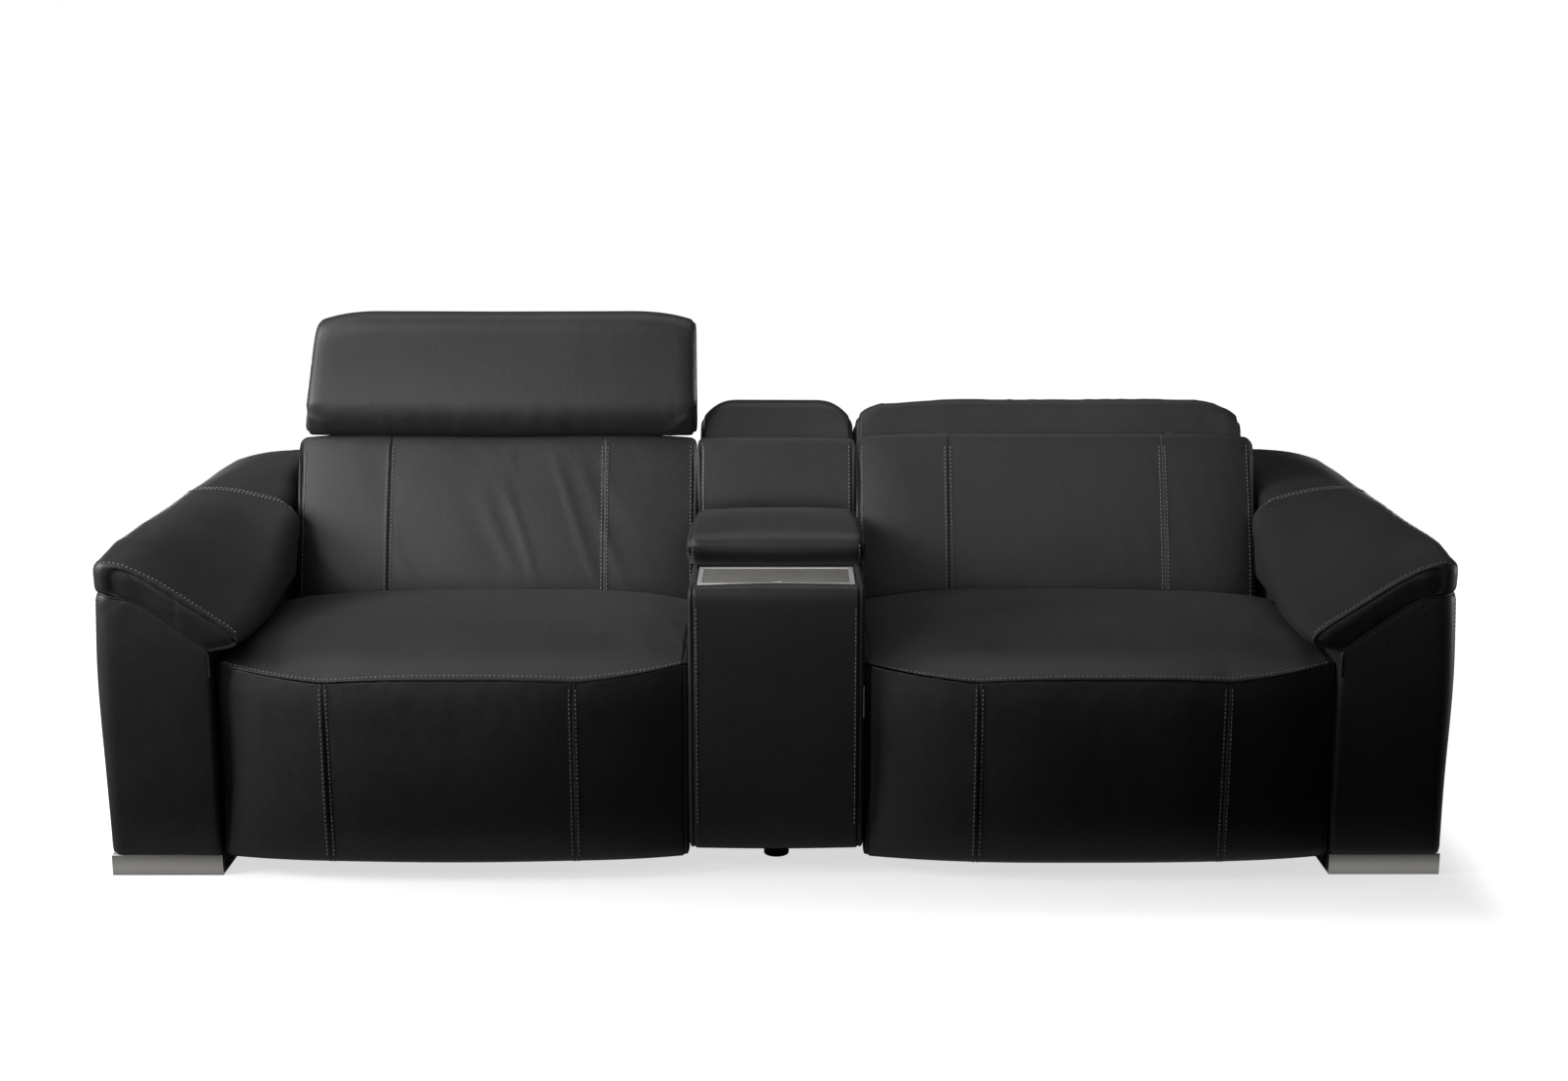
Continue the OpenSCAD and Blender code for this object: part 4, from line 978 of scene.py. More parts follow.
@dataclass
class Seat:
    """One seat: its cushion and the footrest panel that closes its front."""

    side: Side
    panel: float = 0.235
    hinge_inset: float = 0.009
    corner_recess: float = 0.070
    seam_dip: float = 0.008
    seam_rise: float = 0.014
    top_fall: float = 0.032
    swell: float = 0.0035
    spread: float = 0.0073
    end_radius: float = 0.012

    def __post_init__(self) -> None:
        """Takes sizes and places from the frame."""
        self.cushion = Extent.of("right_seat_cushion")
        self.pad = Extent.of("right_footrest_pad")
        hinge = joint_place("right_footrest_lift")
        self.axis_y, self.axis_z = hinge.y, hinge.z
        self.front = hinge.y - self.hinge_inset
        self.seam_z = hinge.z + self.hinge_inset + 0.001
        self.half = self.cushion.half_x + self.spread
        self.middle = self.cushion.mid_x
        self.u_seam = self.panel / self.half

    def face(self, u: Array) -> Array:
        """Front face of the seat at a share of its half width."""
        return self.front + self.corner_recess * np.abs(u) ** 3.2

    def seam(self, u: Array) -> Array:
        """Height of the seam between cushion and footrest."""
        a = np.abs(u)
        dip = self.seam_dip * np.minimum(a / self.u_seam, 1) ** 3
        rise = (self.seam_dip + self.seam_rise) * (np.maximum(a - self.u_seam, 0) / (1 - self.u_seam)) ** 1.3
        lip = self.axis_z + self.axis_y - self.face(u) + 0.001
        return np.maximum(self.seam_z - dip + rise, lip)

    def build_cushion(self) -> None:
        """The seat cushion, with its front seam and side seams."""
        x = stations(self.half, self.end_radius, (-self.half + 0.009, self.half - 0.009))
        u = x / self.half
        a, f, s = np.abs(u), self.face(u), self.seam(u)
        top, fall, rear = self.cushion.z1, self.top_fall, self.cushion.y1
        inner = Extent.of("right_seat_deck").y0 - 0.001
        rings = lofted(x, self.half, self.end_radius, [
            (f + 0.0015, s, 0.001, 0.6),
            (f + 0.001, s + 0.0035, 0.0028, 0.6),
            (f + 0.072, top - 0.017 - (fall - 0.016) * a**4, 0.060, 0.7),
            (self.front + 0.180, top - 0.001 - (fall - 0.008) * a**4, 0.090, 0.9),
            (self.front + 0.295, top + 0.004 - fall * a**4, 0.120, 1),
            (rear, top - 0.010 - (fall - 0.006) * a**4, 0.030, 2),
            (rear, self.cushion.z0, 0.006, 4),
            (inner, self.cushion.z0, 0.005, 4),
            (inner, s, 0.003, 2),
        ])
        skin = Skin(ringed(x[:, None], rings), 0.003)
        px, py, pz = skin.axes
        lit = smooth((pz - self.cushion.z0 - 0.03) / 0.03)
        seed = 20 + self.side.value
        skin.swell(px, py, 0.24, 0.0022, seed)
        upper = smooth((pz - self.seam_z - 0.008) / 0.02)
        skin.folds(px, py, 78, (0.20, 0.055), 0.0012, seed + 2, upper * smooth((py - self.front - 0.05) / 0.1))
        edge = np.abs(py - self.face(px / self.half)) + np.abs(pz - self.seam(px / self.half)) * 0.7
        skin.ripple(edge, px, 0.026, 0.017, 0.0006, seed + 5)
        skin.edge_seam(np.abs(px) - (self.half - 0.009), lit)
        skin.flatten(self.half)
        skin.shift(self.middle)
        piece = skin.piece(self.side.node("seat_cover"), self.side)
        run = np.linspace(-self.half + 0.012, self.half - 0.012, 160)
        share = run / self.half
        rows = [line(run + self.middle, self.face(share) + 0.0065, self.seam(share) + 0.0075)]
        Cover(self.side.node("seat_cushion"), piece, 0.8).finish(mirrored(rows, self.side))

    def build_footrest(self) -> None:
        """The footrest panel, with its two felled seams."""
        radius = 0.010
        x = stations(self.half, radius, (-self.panel, self.panel, -self.half + 0.008, self.half - 0.008))
        u = x / self.half
        a, f = np.abs(u), self.face(u)
        top, low, back = self.seam(u) - 0.0012, self.pad.z0, self.pad.y1
        trough = Extent.of("right_footrest_hinges").z0 + 0.057
        lip = np.maximum(self.axis_y - f, 0.005)
        rings = lofted(x, self.half, radius, [
            (back, np.minimum(top - 0.004, trough), 0.003, 3),
            (f + lip * 0.55, np.minimum(top - 0.004, trough), 0.002, 1),
            (f + lip * 0.5, top, 0.0012, 1),
            (f + 0.001, top, 0.003, 0.6),
            (f - 0.004 - 0.5 * self.swell * puff(u, self.u_seam), top - 0.045, 0.036, 0.7),
            (f - 0.003 - 1.2 * self.swell * puff(u, self.u_seam), (top + low) / 2 - 0.030, 0.110, 0.9),
            (self.front + 0.006 + 0.040 * a**3, low, 0.024, 0.8),
            (back, low, 0.004, 3),
        ])
        skin = Skin(ringed(x[:, None], rings), 0.002)
        px, py, pz = skin.axes
        facing = smooth((self.front + 0.075 - py) / 0.02)
        seed = 50 + self.side.value
        skin.swell(px, pz, 0.2, 0.0016, seed)
        below = smooth((self.seam_z - 0.006 - pz) / 0.012)
        skin.folds(px, pz, 84, (0.11, 0.030), 0.0009, seed + 3, facing * below * np.exp(-(self.seam_z - pz) / 0.10))
        skin.ripple(self.seam_z - pz, px, 0.022, 0.012, 0.0006, seed + 6)
        skin.panel_seams(self.panel, (0.016, 0.011, 0.0004), seed + 8, facing)
        skin.edge_seam(np.abs(px) - (self.half - 0.008), facing)
        skin.flatten(self.half)
        skin.shift(self.middle)
        piece = skin.piece(self.side.node("footrest_cover"), self.side)
        run = np.linspace(self.seam_z - self.seam_dip - 0.010, low + 0.016, 60)
        rows = [line(self.middle + at, self.front - 0.005, run) for at in beside(self.panel)]
        Cover(self.side.node("footrest_pad"), piece, 0.8).finish(mirrored(rows, self.side))


@dataclass
class Back:
    """One reclining back: its cushion and the leather shell behind it."""

    side: Side
    panel: float = 0.235
    lean: float = 0.128
    crest: float = 0.0125
    spread: float = 0.0042
    end_radius: float = 0.016

    def __post_init__(self) -> None:
        """Takes sizes and places from the frame."""
        self.cushion = Extent.of("right_back_cushion")
        self.half = self.cushion.half_x + self.spread
        self.middle = self.cushion.mid_x

    def build_cushion(self) -> None:
        """The back cushion, with two felled seams and stitched sides."""
        box = self.cushion
        edge = self.half - 0.008
        x = stations(self.half, self.end_radius, (-self.panel, self.panel, -edge, edge))
        u = x / self.half
        a = np.abs(u)
        seam = self.panel / self.half
        face = box.y0 + 0.006
        f = 0.004 * (1 - puff(u, seam)) + 0.014 * a**6
        crest = self.crest if self.side is Side.RIGHT else 0.011
        top = box.z1 + crest - 0.010 * a**6
        rings = lofted(x, self.half, self.end_radius, [
            (face + 0.016 + f * 0.5, box.z0, 0.014, 2),
            (face - 0.006 + f, box.z0 + 0.122, 0.070, 0.9),
            (face + self.lean * 0.5 - 0.010 + f, box.z0 + 0.302, 0.100, 0.9),
            (face + self.lean + f * 0.6, top, 0.038, 0.7),
            (box.y1, top - 0.010, 0.006, 3),
            (box.y1, box.z0, 0.006, 4),
        ])
        skin = Skin(ringed(x[:, None], rings), 0.002)
        px, py, pz = skin.axes
        facing = smooth((box.y1 - 0.02 - py) / 0.02)
        seed = 80 + self.side.value
        skin.swell(px, pz, 0.17, 0.0024, seed)
        creased = 1.0 if self.side is Side.LEFT else 0.45
        middle = np.exp(-(((pz - box.z0 - 0.26) / 0.19) ** 2)) * np.exp(-((px / 0.36) ** 4))
        slant = 62 if self.side is Side.LEFT else 100
        skin.folds(px, pz, slant, (0.24, 0.050), 0.0017 * creased, seed + 4, facing * middle)
        skin.panel_seams(self.panel, (0.018, 0.013, 0.0003), seed + 8, facing)
        skin.side_seams(edge, (0.014, 0.012, 0.0005), seed + 12, facing)
        skin.flatten(self.half)
        skin.shift(self.middle)
        piece = skin.piece(self.side.node("back_cover"), self.side)
        run = np.linspace(box.z0 + 0.05, box.z1 - 0.018, 90)
        depth = face + self.lean * smooth((run - box.z0 - 0.1) / 0.45)
        rows = [line(self.middle + at, depth, run) for at in (*beside(self.panel), edge - 0.006, 0.006 - edge)]
        Cover(self.side.node("back_cushion"), piece, 0.7).finish(mirrored(rows, self.side))

    def build_shell(self) -> None:
        """The shell round the back's frame: sides, rear and top in thick leather."""
        box = Extent.of("right_back_shell")
        half, middle, radius = box.half_x, box.mid_x, 0.012
        panel = 0.25
        x = stations(half, radius, (-panel, panel), 0.012)
        crease = box.z0 + 0.358
        rings = lofted(x, half, radius, [
            (box.y0, box.z0, 0.002, 3),
            (box.y0, box.z1, 0.004, 1),
            (box.y0 + 0.018, box.z1, 0.010, 1),
            (box.y1 - 0.016, box.z1 - 0.072, 0.030, 1),
            (box.y1, crease, 0.050, 1),
            (box.y1 - 0.060, box.z0, 0.003, 3),
        ], 0.010)
        skin = Skin(ringed(x[:, None], rings), 0.0)
        px, py, pz = skin.axes
        rear = smooth((py - box.y1 + 0.10) / 0.05) * smooth((pz - box.z0) / 0.03)
        seed = 110 + self.side.value
        skin.swell(px, pz, 0.2, 0.0012, seed)
        filled = np.cos(np.clip(px / half, -1, 1) * math.pi / 2) * np.sin(math.pi * np.clip((pz - box.z0) / 0.4, 0, 1))
        skin.push(0.004 * rear * filled)
        for e in (-1, 1):
            skin.felled(px - e * panel, smooth((py - box.y0 - 0.02) / 0.02))
        side_flat = smooth((np.abs(px) - half + 0.012) / 0.004)
        skin.groove(np.abs(px) - half + 0.010, 0.0016, 0.0024, (1 - side_flat) * rear)

        def open_sides(middles: Array, normals: Array) -> Array:
            """Faces of the front and the underside, which stay open."""
            size = np.linalg.norm(normals, axis=-1) + 1e-12
            frontal = (-normals[:, 1] / size > 0.7) & (middles[:, 1] < box.y0 + 0.004)
            under = (-normals[:, 2] / size > 0.7) & (middles[:, 2] < box.z0 + 0.004)
            return frontal | under

        skin.shift(middle)
        piece = skin.piece(self.side.node("shell_cover"), self.side, open_sides)
        apply_modifier(piece, "SOLIDIFY", thickness=0.009, offset=-1.0)
        depth = np.array([box.y0 + 0.03, box.y1 - 0.016, box.y1, box.y1 - 0.058])
        level = np.array([box.z1, box.z1 - 0.072, crease, box.z0 + 0.012])
        rows = [line(middle + at, depth, level) for at in (*beside(panel), half - 0.018, 0.018 - half)]
        welts = []
        for e, place in ((-1, "inner"), (1, "outer")):
            turns = line(middle + e * (half - 0.003), depth, level)
            fine = np.concatenate([np.linspace(turns[i], turns[i + 1], 12)[:-1] for i in range(3)] + [turns[-1:]])
            fine[:, 1] -= 0.006 * np.exp(-(((fine[:, 2] - crease) / 0.02) ** 2))
            welts.append(welt(f"{self.side.node('shell_welt')}_{place}", *mirrored([fine], self.side), 0.0028))
        Cover(self.side.node("back_shell"), piece, 0.9).finish(mirrored(rows, self.side), welts)


def turned(points: Array, pivot: Vector, degrees: float) -> Array:
    """Points turned about a crosswise axis."""
    c, sn = math.cos(math.radians(degrees)), math.sin(math.radians(degrees))
    y, z = points[..., 1] - pivot.y, points[..., 2] - pivot.z
    return np.stack([points[..., 0], pivot.y + y * c - z * sn, pivot.z + y * sn + z * c], -1)


@dataclass
class Headrest:
    """One headrest, shaped raised and turned down where it rests lowered."""

    side: Side
    slant: float = 0.038
    spread: float = 0.005
    lowered: float = -105.0
    end_radius: float = 0.015

    def build(self) -> None:
        """The headrest's cover, with side seams and gathers at its lower corners."""
        box = Extent.of("left_headrest")
        half, middle = box.half_x + self.spread, self.spread - box.mid_x
        y0, z0, y1, z1 = box.y0, box.z0, box.y1, box.z1
        height = z1 - z0
        raised = self.side is Side.LEFT
        edge = half - 0.006
        x = stations(half, self.end_radius, (-edge, edge))
        u = x / half
        drop = 0.022 * np.clip((np.abs(x) - half + 0.156) / 0.156, 0, 1) ** 2.5
        if raised:
            crown, belly, lean, low = 0.008 * np.abs(u) ** 2.5 + 0.4 * end_cut(x, half, 0.040), 0.026, 0.040, 0.010
        else:
            end = np.abs(x) - half
            outer = 0.046 * np.clip(1 + end / 0.11, 0, 1) ** 2.2
            inner = 0.026 * np.clip(1 + end / 0.06, 0, 1) ** 2 + 0.014 * np.clip(1 + end / 0.25, 0, 1) ** 2
            crown = np.where(u > 0, outer, inner) - 0.010
            belly, lean, low = 0.0, 0.012, 0.0
        rings = lofted(x, half, self.end_radius, [
            (y0 + belly + crown, z0 - low, 0.028 if raised else 0.034, 0.6),
            (y0 + crown, z0 + (0.046 if raised else 0.038), 0.034, 0.6),
            (y0 + lean * 0.5 + crown, z0 + 0.115, 0.060, 0.9),
            (y0 + lean + crown * 0.6, z1 - drop, 0.048, 0.7),
            (y1 - 0.003, z1 - drop - 0.003, 0.036, 1.5),
            (y1, z0, 0.028, 1.5),
        ])
        lean_out = np.maximum(u, 0)[:, None] * self.slant * (np.maximum(rings[..., 1] - z0, 0) / height) ** 1.3
        skin = Skin(ringed(x[:, None] - lean_out, rings), 0.003)
        px, py, pz = skin.axes
        seed = 140 + self.side.value
        skin.swell(px, pz, 0.19, 0.0018, seed)
        facing = smooth((y1 - 0.02 - py) / 0.03)
        corner = np.exp(-(((np.abs(px) - half + 0.03) / 0.05) ** 2))
        low_band = np.exp(-(((pz - z0 - 0.03) / 0.035) ** 2))
        skin.folds(np.abs(px), pz, 40, (0.08, 0.020), 0.0034, seed + 3, corner * low_band * facing)
        skin.folds(px, pz, 86, (0.10, 0.045), 0.0012, seed + 5, facing * low_band)
        skin.side_seams(edge, (0.014, 0.012, 0.0006), seed + 7, 1 - smooth((pz - z0 - 0.03) / 0.04) * facing)
        skin.flatten(half)
        skin.shift(middle)
        if not raised:
            skin.points = turned(skin.points, joint_place("right_headrest_tilt"), self.lowered)
        piece = skin.piece(self.side.node("headrest_cover"), self.side)
        Cover(self.side.node("headrest"), piece, 0.7).finish()


@dataclass
class Arm:
    """One arm: the upholstered body and the thick pad on its top."""

    side: Side
    front_radius: float = 0.009
    crown: float = 0.044
    bulge: float = 0.009
    plan_radius: float = 0.042

    def __post_init__(self) -> None:
        """Takes sizes and places from the frame."""
        self.box = Extent.of("right_arm_body")
        self.pad = Extent.of("right_arm_pad")
        self.inner, self.outer = self.box.x0, self.box.x1
        self.middle = (self.inner + self.outer) / 2 + 0.020
        self.outer_z = 0.562
        self.low_z, self.high_z = 0.450, 0.600

    def rise(self, y: Array) -> Array:
        """Share of the inner edge's rise from front to rear."""
        return smooth((y - self.box.y0 - 0.205) / 0.620)

    def inner_top(self, y: Array) -> Array:
        """Height of the body's inner edge."""
        return self.low_z + (self.high_z - self.low_z) * self.rise(y)

    def middle_top(self, y: Array) -> Array:
        """Height of the body's crown."""
        return (self.outer_z + self.inner_top(y)) / 2 + self.crown * (1 - 0.7 * self.rise(y))

    def build_body(self) -> None:
        """The arm's body, with a welt round its top edge and a seam down its side."""
        box = self.box
        half = (box.y1 - box.y0) / 2
        mid_y = (box.y0 + box.y1) / 2
        t = stations(half, self.front_radius, (-half + 0.030,), 0.011)
        y = t + mid_y
        plan = end_cut(np.minimum(t, 0), half, self.plan_radius)
        rings = lofted(t, half, self.front_radius, [
            (self.inner + 0.002, box.z0, 0.010, 3),
            (self.outer + 0.001 - plan * 0.4, box.z0, 0.012, 1),
            (self.outer + self.bulge - plan * 0.8, box.z0 + 0.32, 0.150, 1),
            (self.outer + 0.002 - plan, self.outer_z, 0.016, 1),
            (self.middle, self.middle_top(y), 0.070, 1),
            (self.inner, self.inner_top(y), 0.010, 1),
        ], 0.009)
        skin = Skin(ringed(y[:, None], rings, 1), 0.006)
        px, py, pz = skin.axes
        seed = 170 + self.side.value
        skin.swell(px + py, pz, 0.2, 0.0014, seed)
        ahead = smooth((box.y0 + 0.03 - py) / 0.02)
        shoulder = np.exp(-np.maximum(self.outer_z - 0.02 - pz, 0) / 0.05)
        skin.folds(px, pz, 120, (0.08, 0.022), 0.0011, seed + 3, ahead * shoulder)
        outer = smooth((px - self.outer + 0.02) / 0.01)
        skin.groove(py - box.y0 - 0.030, 0.0022, 0.0022, outer)
        skin.points[..., 0] = np.maximum(skin.points[..., 0], self.inner)
        piece = skin.piece(self.side.node("arm_cover"), self.side)
        rows = [line(self.outer, box.y0 + 0.038, np.linspace(box.z0 + 0.03, self.outer_z - 0.02, 60))]
        Cover(self.side.node("arm_body"), piece, 0.85).finish(mirrored(rows, self.side), [self.top_welt(skin, y)])

    def top_welt(self, skin: Skin, y: Array) -> bpy.types.Object:
        """The covered cord along the body's front and outer top edges.

        Args:
            skin: the body's skin, whose rings the cord follows.
            y: places of its rings.
        """
        rings = skin.points[len(Skin.CAP):-len(Skin.CAP)]
        first = int(np.argmin(np.abs(y - self.box.y0 - 0.29 * self.front_radius)))
        front = rings[first]
        corner = int(np.argmax(front[:, 0] + front[:, 2] - 3 * np.abs(front[:, 2] - self.outer_z)))
        along = rings[first + 1:-3, corner][::-2]
        across = np.roll(front, -corner, 0)
        across = across[:int(np.argmax(across[:, 2] < self.low_z - 0.055))]
        path = np.concatenate([along, across])
        return welt(self.side.node("arm_welt"), *mirrored([path], self.side), 0.0032)

    def build_pad(self) -> None:
        """The thick pad, with its front seam and the stitched seam across it."""
        box, pad = self.box, self.pad
        overhang = self.inner - pad.x0
        start, end = pad.y0, pad.y1
        zero = box.y0 + 0.505
        half, mid_y = (end - start) / 2, (start + end) / 2
        across_y = zero + 0.10
        t = stations(half, 0.008, (across_y - mid_y,), 0.010)
        y = t + mid_y
        near = smooth((y - zero - 0.068) / 0.042)
        plan = end_cut(np.minimum(t, 0), half, 0.034)
        slim = 1 - 0.22 * smooth((y - zero + 0.22) / 0.26)
        inner = self.inner - overhang * (1 - near) * slim - 0.014 * near * (1 - smooth((y - zero - 0.15) / 0.12))
        inner_top = 0.486 + 0.192 * smooth((y - zero + 0.42) / 0.82)
        outer_top = 0.628 + 0.016 * smooth((y - start) / 0.16)
        e = 0.6 * end_cut(np.minimum(t, 0), half, 0.014) + end_cut(np.maximum(t, 0), half, 0.030)
        mid_top = (outer_top + inner_top) / 2 + 0.012 + 0.044 * (1 - self.rise(y))
        hang = (1 - smooth((y - zero - 0.010) / 0.045)) * np.maximum(self.inner_top(y) - 0.466, 0)
        low_in = self.inner_top(y) - hang + 0.012 * (1 - smooth((y - start) / 0.12))
        rings = lofted(t, half, 0.0, [
            (self.outer - 0.003 - plan, self.outer_z + 0.004, 0.010, 0.8),
            (self.outer - 0.002 - plan, outer_top - e, 0.032, 0.8),
            (self.middle, mid_top - e * 0.9, 0.080, 0.9),
            (inner, inner_top - e * 0.6, 0.040, 0.8),
            (inner + 0.004, low_in, 0.016, 1),
            (self.inner + 0.001, self.inner_top(y) + 0.0005, 0.004, 2),
            (self.middle, self.middle_top(y) - 0.004, 0.040, 3),
            (self.outer - 0.012 - plan, self.outer_z + 0.001, 0.003, 2),
        ], 0.008)
        skin = Skin(ringed(y[:, None], rings, 1), 0.004)
        px, py, pz = skin.axes
        lip = np.interp(px, [pad.x0, self.inner, self.middle, self.outer], [0.45, 0.50, 0.60, 0.60])
        skin.points[..., 1] += 0.12 * np.maximum(lip - pz, 0) * (1 - smooth((py - start) / 0.035))
        seed = 200 + self.side.value
        skin.swell(px, py, 0.16, 0.0026, seed)
        upper = smooth((skin.normals()[..., 2] + 0.1) / 0.5)
        creased = 1.0 if self.side is Side.LEFT else 0.5
        skin.folds(px, py, 100, (0.16, 0.050), 0.0008 * creased, seed + 3, upper)
        band = smooth((start + 0.004 - py) / 0.003)
        skin.folds(px, pz, 150, (0.05, 0.020), 0.0007 * creased, seed + 5, band)
        skin.ripple(py - start, px, 0.022, 0.013, 0.0007 * creased, seed + 7)
        ring = np.arange(len(px))[:, None]
        seam_ring = len(Skin.CAP) - 1.5
        skin.groove((ring - seam_ring) * 0.0022 + 0 * px, 0.0036, 0.0022)
        skin.felled(py - across_y, upper)
        piece = skin.piece(self.side.node("arm_pad_cover"), self.side)
        x = np.linspace(pad.x0 + 0.012, self.outer - 0.004, 80)
        behind = len(Skin.CAP) + int(np.argmax(t > 0.0075 - half))
        lip_row = skin.points[behind]
        corner = int(np.argmax(lip_row[:, 0] + lip_row[:, 2]))
        lip_row = np.roll(lip_row, -corner, 0)
        rows = [lip_row[:int(np.argmax(lip_row[:, 2] < 0.480))]]
        crest = np.interp(x, [self.inner - 0.02, self.middle, self.outer], [0.62, 0.66, 0.64])
        rows += [line(x, across_y + k * FELLED.row, crest) for k in (-1, 1)]
        Cover(self.side.node("arm_pad"), piece, 0.65).finish(mirrored(rows, self.side))


@dataclass
class Console:
    """The console between the seats: body, armrest pad, back cushion, roll, tray and fittings."""

    edge_seam: float = 0.010
    skirt: float = 0.012
    rim: float = 0.0085

    def build_body(self) -> None:
        """The leather box of the console, open for the bin, the cups, the switches and the inlet."""
        box = Extent.of("console_body")
        half, radius = box.half_x, 0.010
        edge = half - self.edge_seam
        tray = Extent.of("tray_frame")
        x = stations(half, radius, (-edge, edge, -tray.x1, tray.x1), 0.010)
        rings = lofted(x, half, radius, [
            (box.y0 + 0.070, box.z0, 0.003, 2),
            (box.y0 + 0.060, box.z0 - self.skirt, 0.004, 1.5),
            (box.y0, box.z0 - self.skirt, 0.012, 1.5),
            (box.y0, box.z1, 0.018, 0.7),
            (box.y1, box.z1, 0.010, 1),
            (box.y1, box.z0, 0.008, 2),
        ], 0.009)
        skin = Skin(ringed(x[:, None], rings), 0.0)
        px, py, pz = skin.axes
        front = smooth((box.y0 + 0.05 - py) / 0.03)
        skin.swell(px, pz, 0.18, 0.0010, 230)
        skin.push(0.003 * front * np.cos(np.clip(px / half, -1, 1) * math.pi / 2))
        outside = np.maximum(smooth((np.abs(px) - tray.x1 - 0.001) / 0.004), smooth((tray.y0 - 0.001 - py) / 0.006))
        top = smooth((pz - box.z1 + 0.020) / 0.020)
        skin.points[..., 2] += self.rim * outside * top
        skin.side_seams(edge, (0.012, 0.012, 0.0005), 232, front)
        skin.flatten(half)
        piece = skin.piece("console_cover")
        self.cut(piece)
        run = np.linspace(box.z1 - 0.03, box.z0 + 0.04, 90)
        rows = [line(at, box.y0, run) for at in at_both(edge - 0.007)]
        Cover("console_body", piece, 0.95).finish(rows)

    def cut(self, piece: bpy.types.Object) -> None:
        """Cuts the body's openings round what sits in them."""
        nodes = ("console_bin", "cup_insert", "switch_plates", "power_inlet")
        store, cups, plates, inlet = (Extent.of(node) for node in nodes)
        above = Extent.of("console_body").z1 + 0.05
        lip, play = 0.007, 0.0005
        boxes = [
            (-store.x1 + lip, store.x1 - lip, store.y0 + lip, -lip + store.y0 + 0.254, store.z0 - 0.001, above),
            (cups.x0 - play, cups.x1 + play, cups.y0 - play, cups.y1 + play, cups.z0 - 0.001, above),
            (inlet.x0 + 0.004, inlet.x1 - 0.004, inlet.y0 - 0.002, inlet.y1 + 0.05, inlet.z0 + 0.003, inlet.z1 - 0.003),
        ]
        for e in (-1, 1):
            sides = sorted((e * (plates.x1 - 0.027), e * (plates.x1 + 0.02)))
            boxes.append((*sides, plates.y0 + 0.003, plates.y1 - 0.003, plates.z0 + 0.0025, plates.z1 - 0.0025))
        for x0, x1, y0, y1, z0, z1 in boxes:
            deselect()
            bpy.ops.mesh.primitive_cube_add(size=1, location=((x0 + x1) / 2, (y0 + y1) / 2, (z0 + z1) / 2))
            tool = bpy.context.object
            tool.scale = (x1 - x0, y1 - y0, z1 - z0)
            bpy.ops.object.transform_apply(location=True, scale=True)
            apply_modifier(piece, "BOOLEAN", operation="DIFFERENCE", object=tool, solver="MANIFOLD")
            bpy.data.objects.remove(tool, do_unlink=True)

    def build_lid_pad(self) -> None:
        """The bolster on the armrest lid."""
        box = Extent.of("console_lid_pad")
        half, radius = box.half_x, 0.024
        edge = half - 0.008
        x = stations(half, radius, (-edge, edge), 0.008)
        u = np.abs(x) / half
        low, tall = box.z0, box.z1 - box.z0
        crown = low + tall + 0.004 - 0.014 * u**3
        front, rear = box.y0 + 0.006, box.y1
        rings = lofted(x, half, radius, [
            (front + 0.0062, low + 0.0003, 0.001, 1),
            (front + 0.0060, low - 0.0105, 0.001, 0.6),
            (front + 0.0010, low - 0.0105, 0.002, 0.6),
            (front + 0.002, low + 0.002, 0.010, 0.6),
            (front - 0.027, low + tall * 0.50, 0.018, 0.6),
            (front - 0.004, low + tall * 0.90, 0.030, 0.6),
            (front + 0.095, crown + 0.008, 0.060, 0.8),
            (rear - 0.118, crown - 0.014, 0.080, 1),
            (rear, low + 0.028, 0.018, 1),
            (rear, low, 0.003, 2),
        ], 0.0075)

        def taper(depth: Array) -> Array:
            """Share of the width that is left towards the rear."""
            return 1 - 0.055 * smooth((depth - front) / 0.34)

        skin = Skin(ringed(x[:, None] * taper(rings[..., 0]), rings), 0.004)
        px, py, pz = skin.axes
        skin.swell(px, py, 0.12, 0.0016, 250)
        seam = np.abs(px) - edge * taper(py)
        skin.ripple(seam, py + pz, 0.018, 0.012, 0.0009, 252)
        skin.edge_seam(seam, smooth((pz - low - 0.004) / 0.01))
        piece = skin.piece("armrest_cover")
        rise = np.linspace(low + 0.004, low + tall * 0.6, 30)
        rows = [line(at, front - 0.022, rise) for at in at_both(edge - 0.006)]
        Cover("console_lid_pad", piece, 0.7).finish(rows)

    def build_back(self) -> None:
        """The cushion behind the armrest, with stitched sides."""
        box = Extent.of("console_back_cushion")
        half, radius = box.half_x + 0.003, 0.012
        edge = half - 0.008
        x = stations(half, radius, (-edge, edge), 0.009)
        u = np.abs(x) / half
        low, face = box.z0, box.y0
        lean = 0.054
        top = box.z1 - 0.004 * u**4
        rings = lofted(x, half, radius, [
            (face, low, 0.008, 2),
            (face + 0.004 * u * u, low + 0.070, 0.050, 1),
            (face + lean, top, 0.030, 0.8),
            (box.y1, top, 0.006, 2),
            (box.y1, low, 0.006, 3),
        ], 0.008)
        skin = Skin(ringed(x[:, None], rings), 0.002)
        px, py, pz = skin.axes
        skin.swell(px, pz, 0.12, 0.0012, 260)
        skin.side_seams(edge, (0.012, 0.010, 0.0007), 262, smooth((box.y1 - 0.015 - py) / 0.015))
        piece = skin.piece("console_back_cover")
        run = np.linspace(low + 0.01, box.z1 - 0.012, 60)
        depth = face + lean * (run - low) / (box.z1 - low)
        rows = [line(at, depth, run) for at in at_both(edge - 0.006)]
        Cover("console_back_cushion", piece, 0.8).finish(rows)

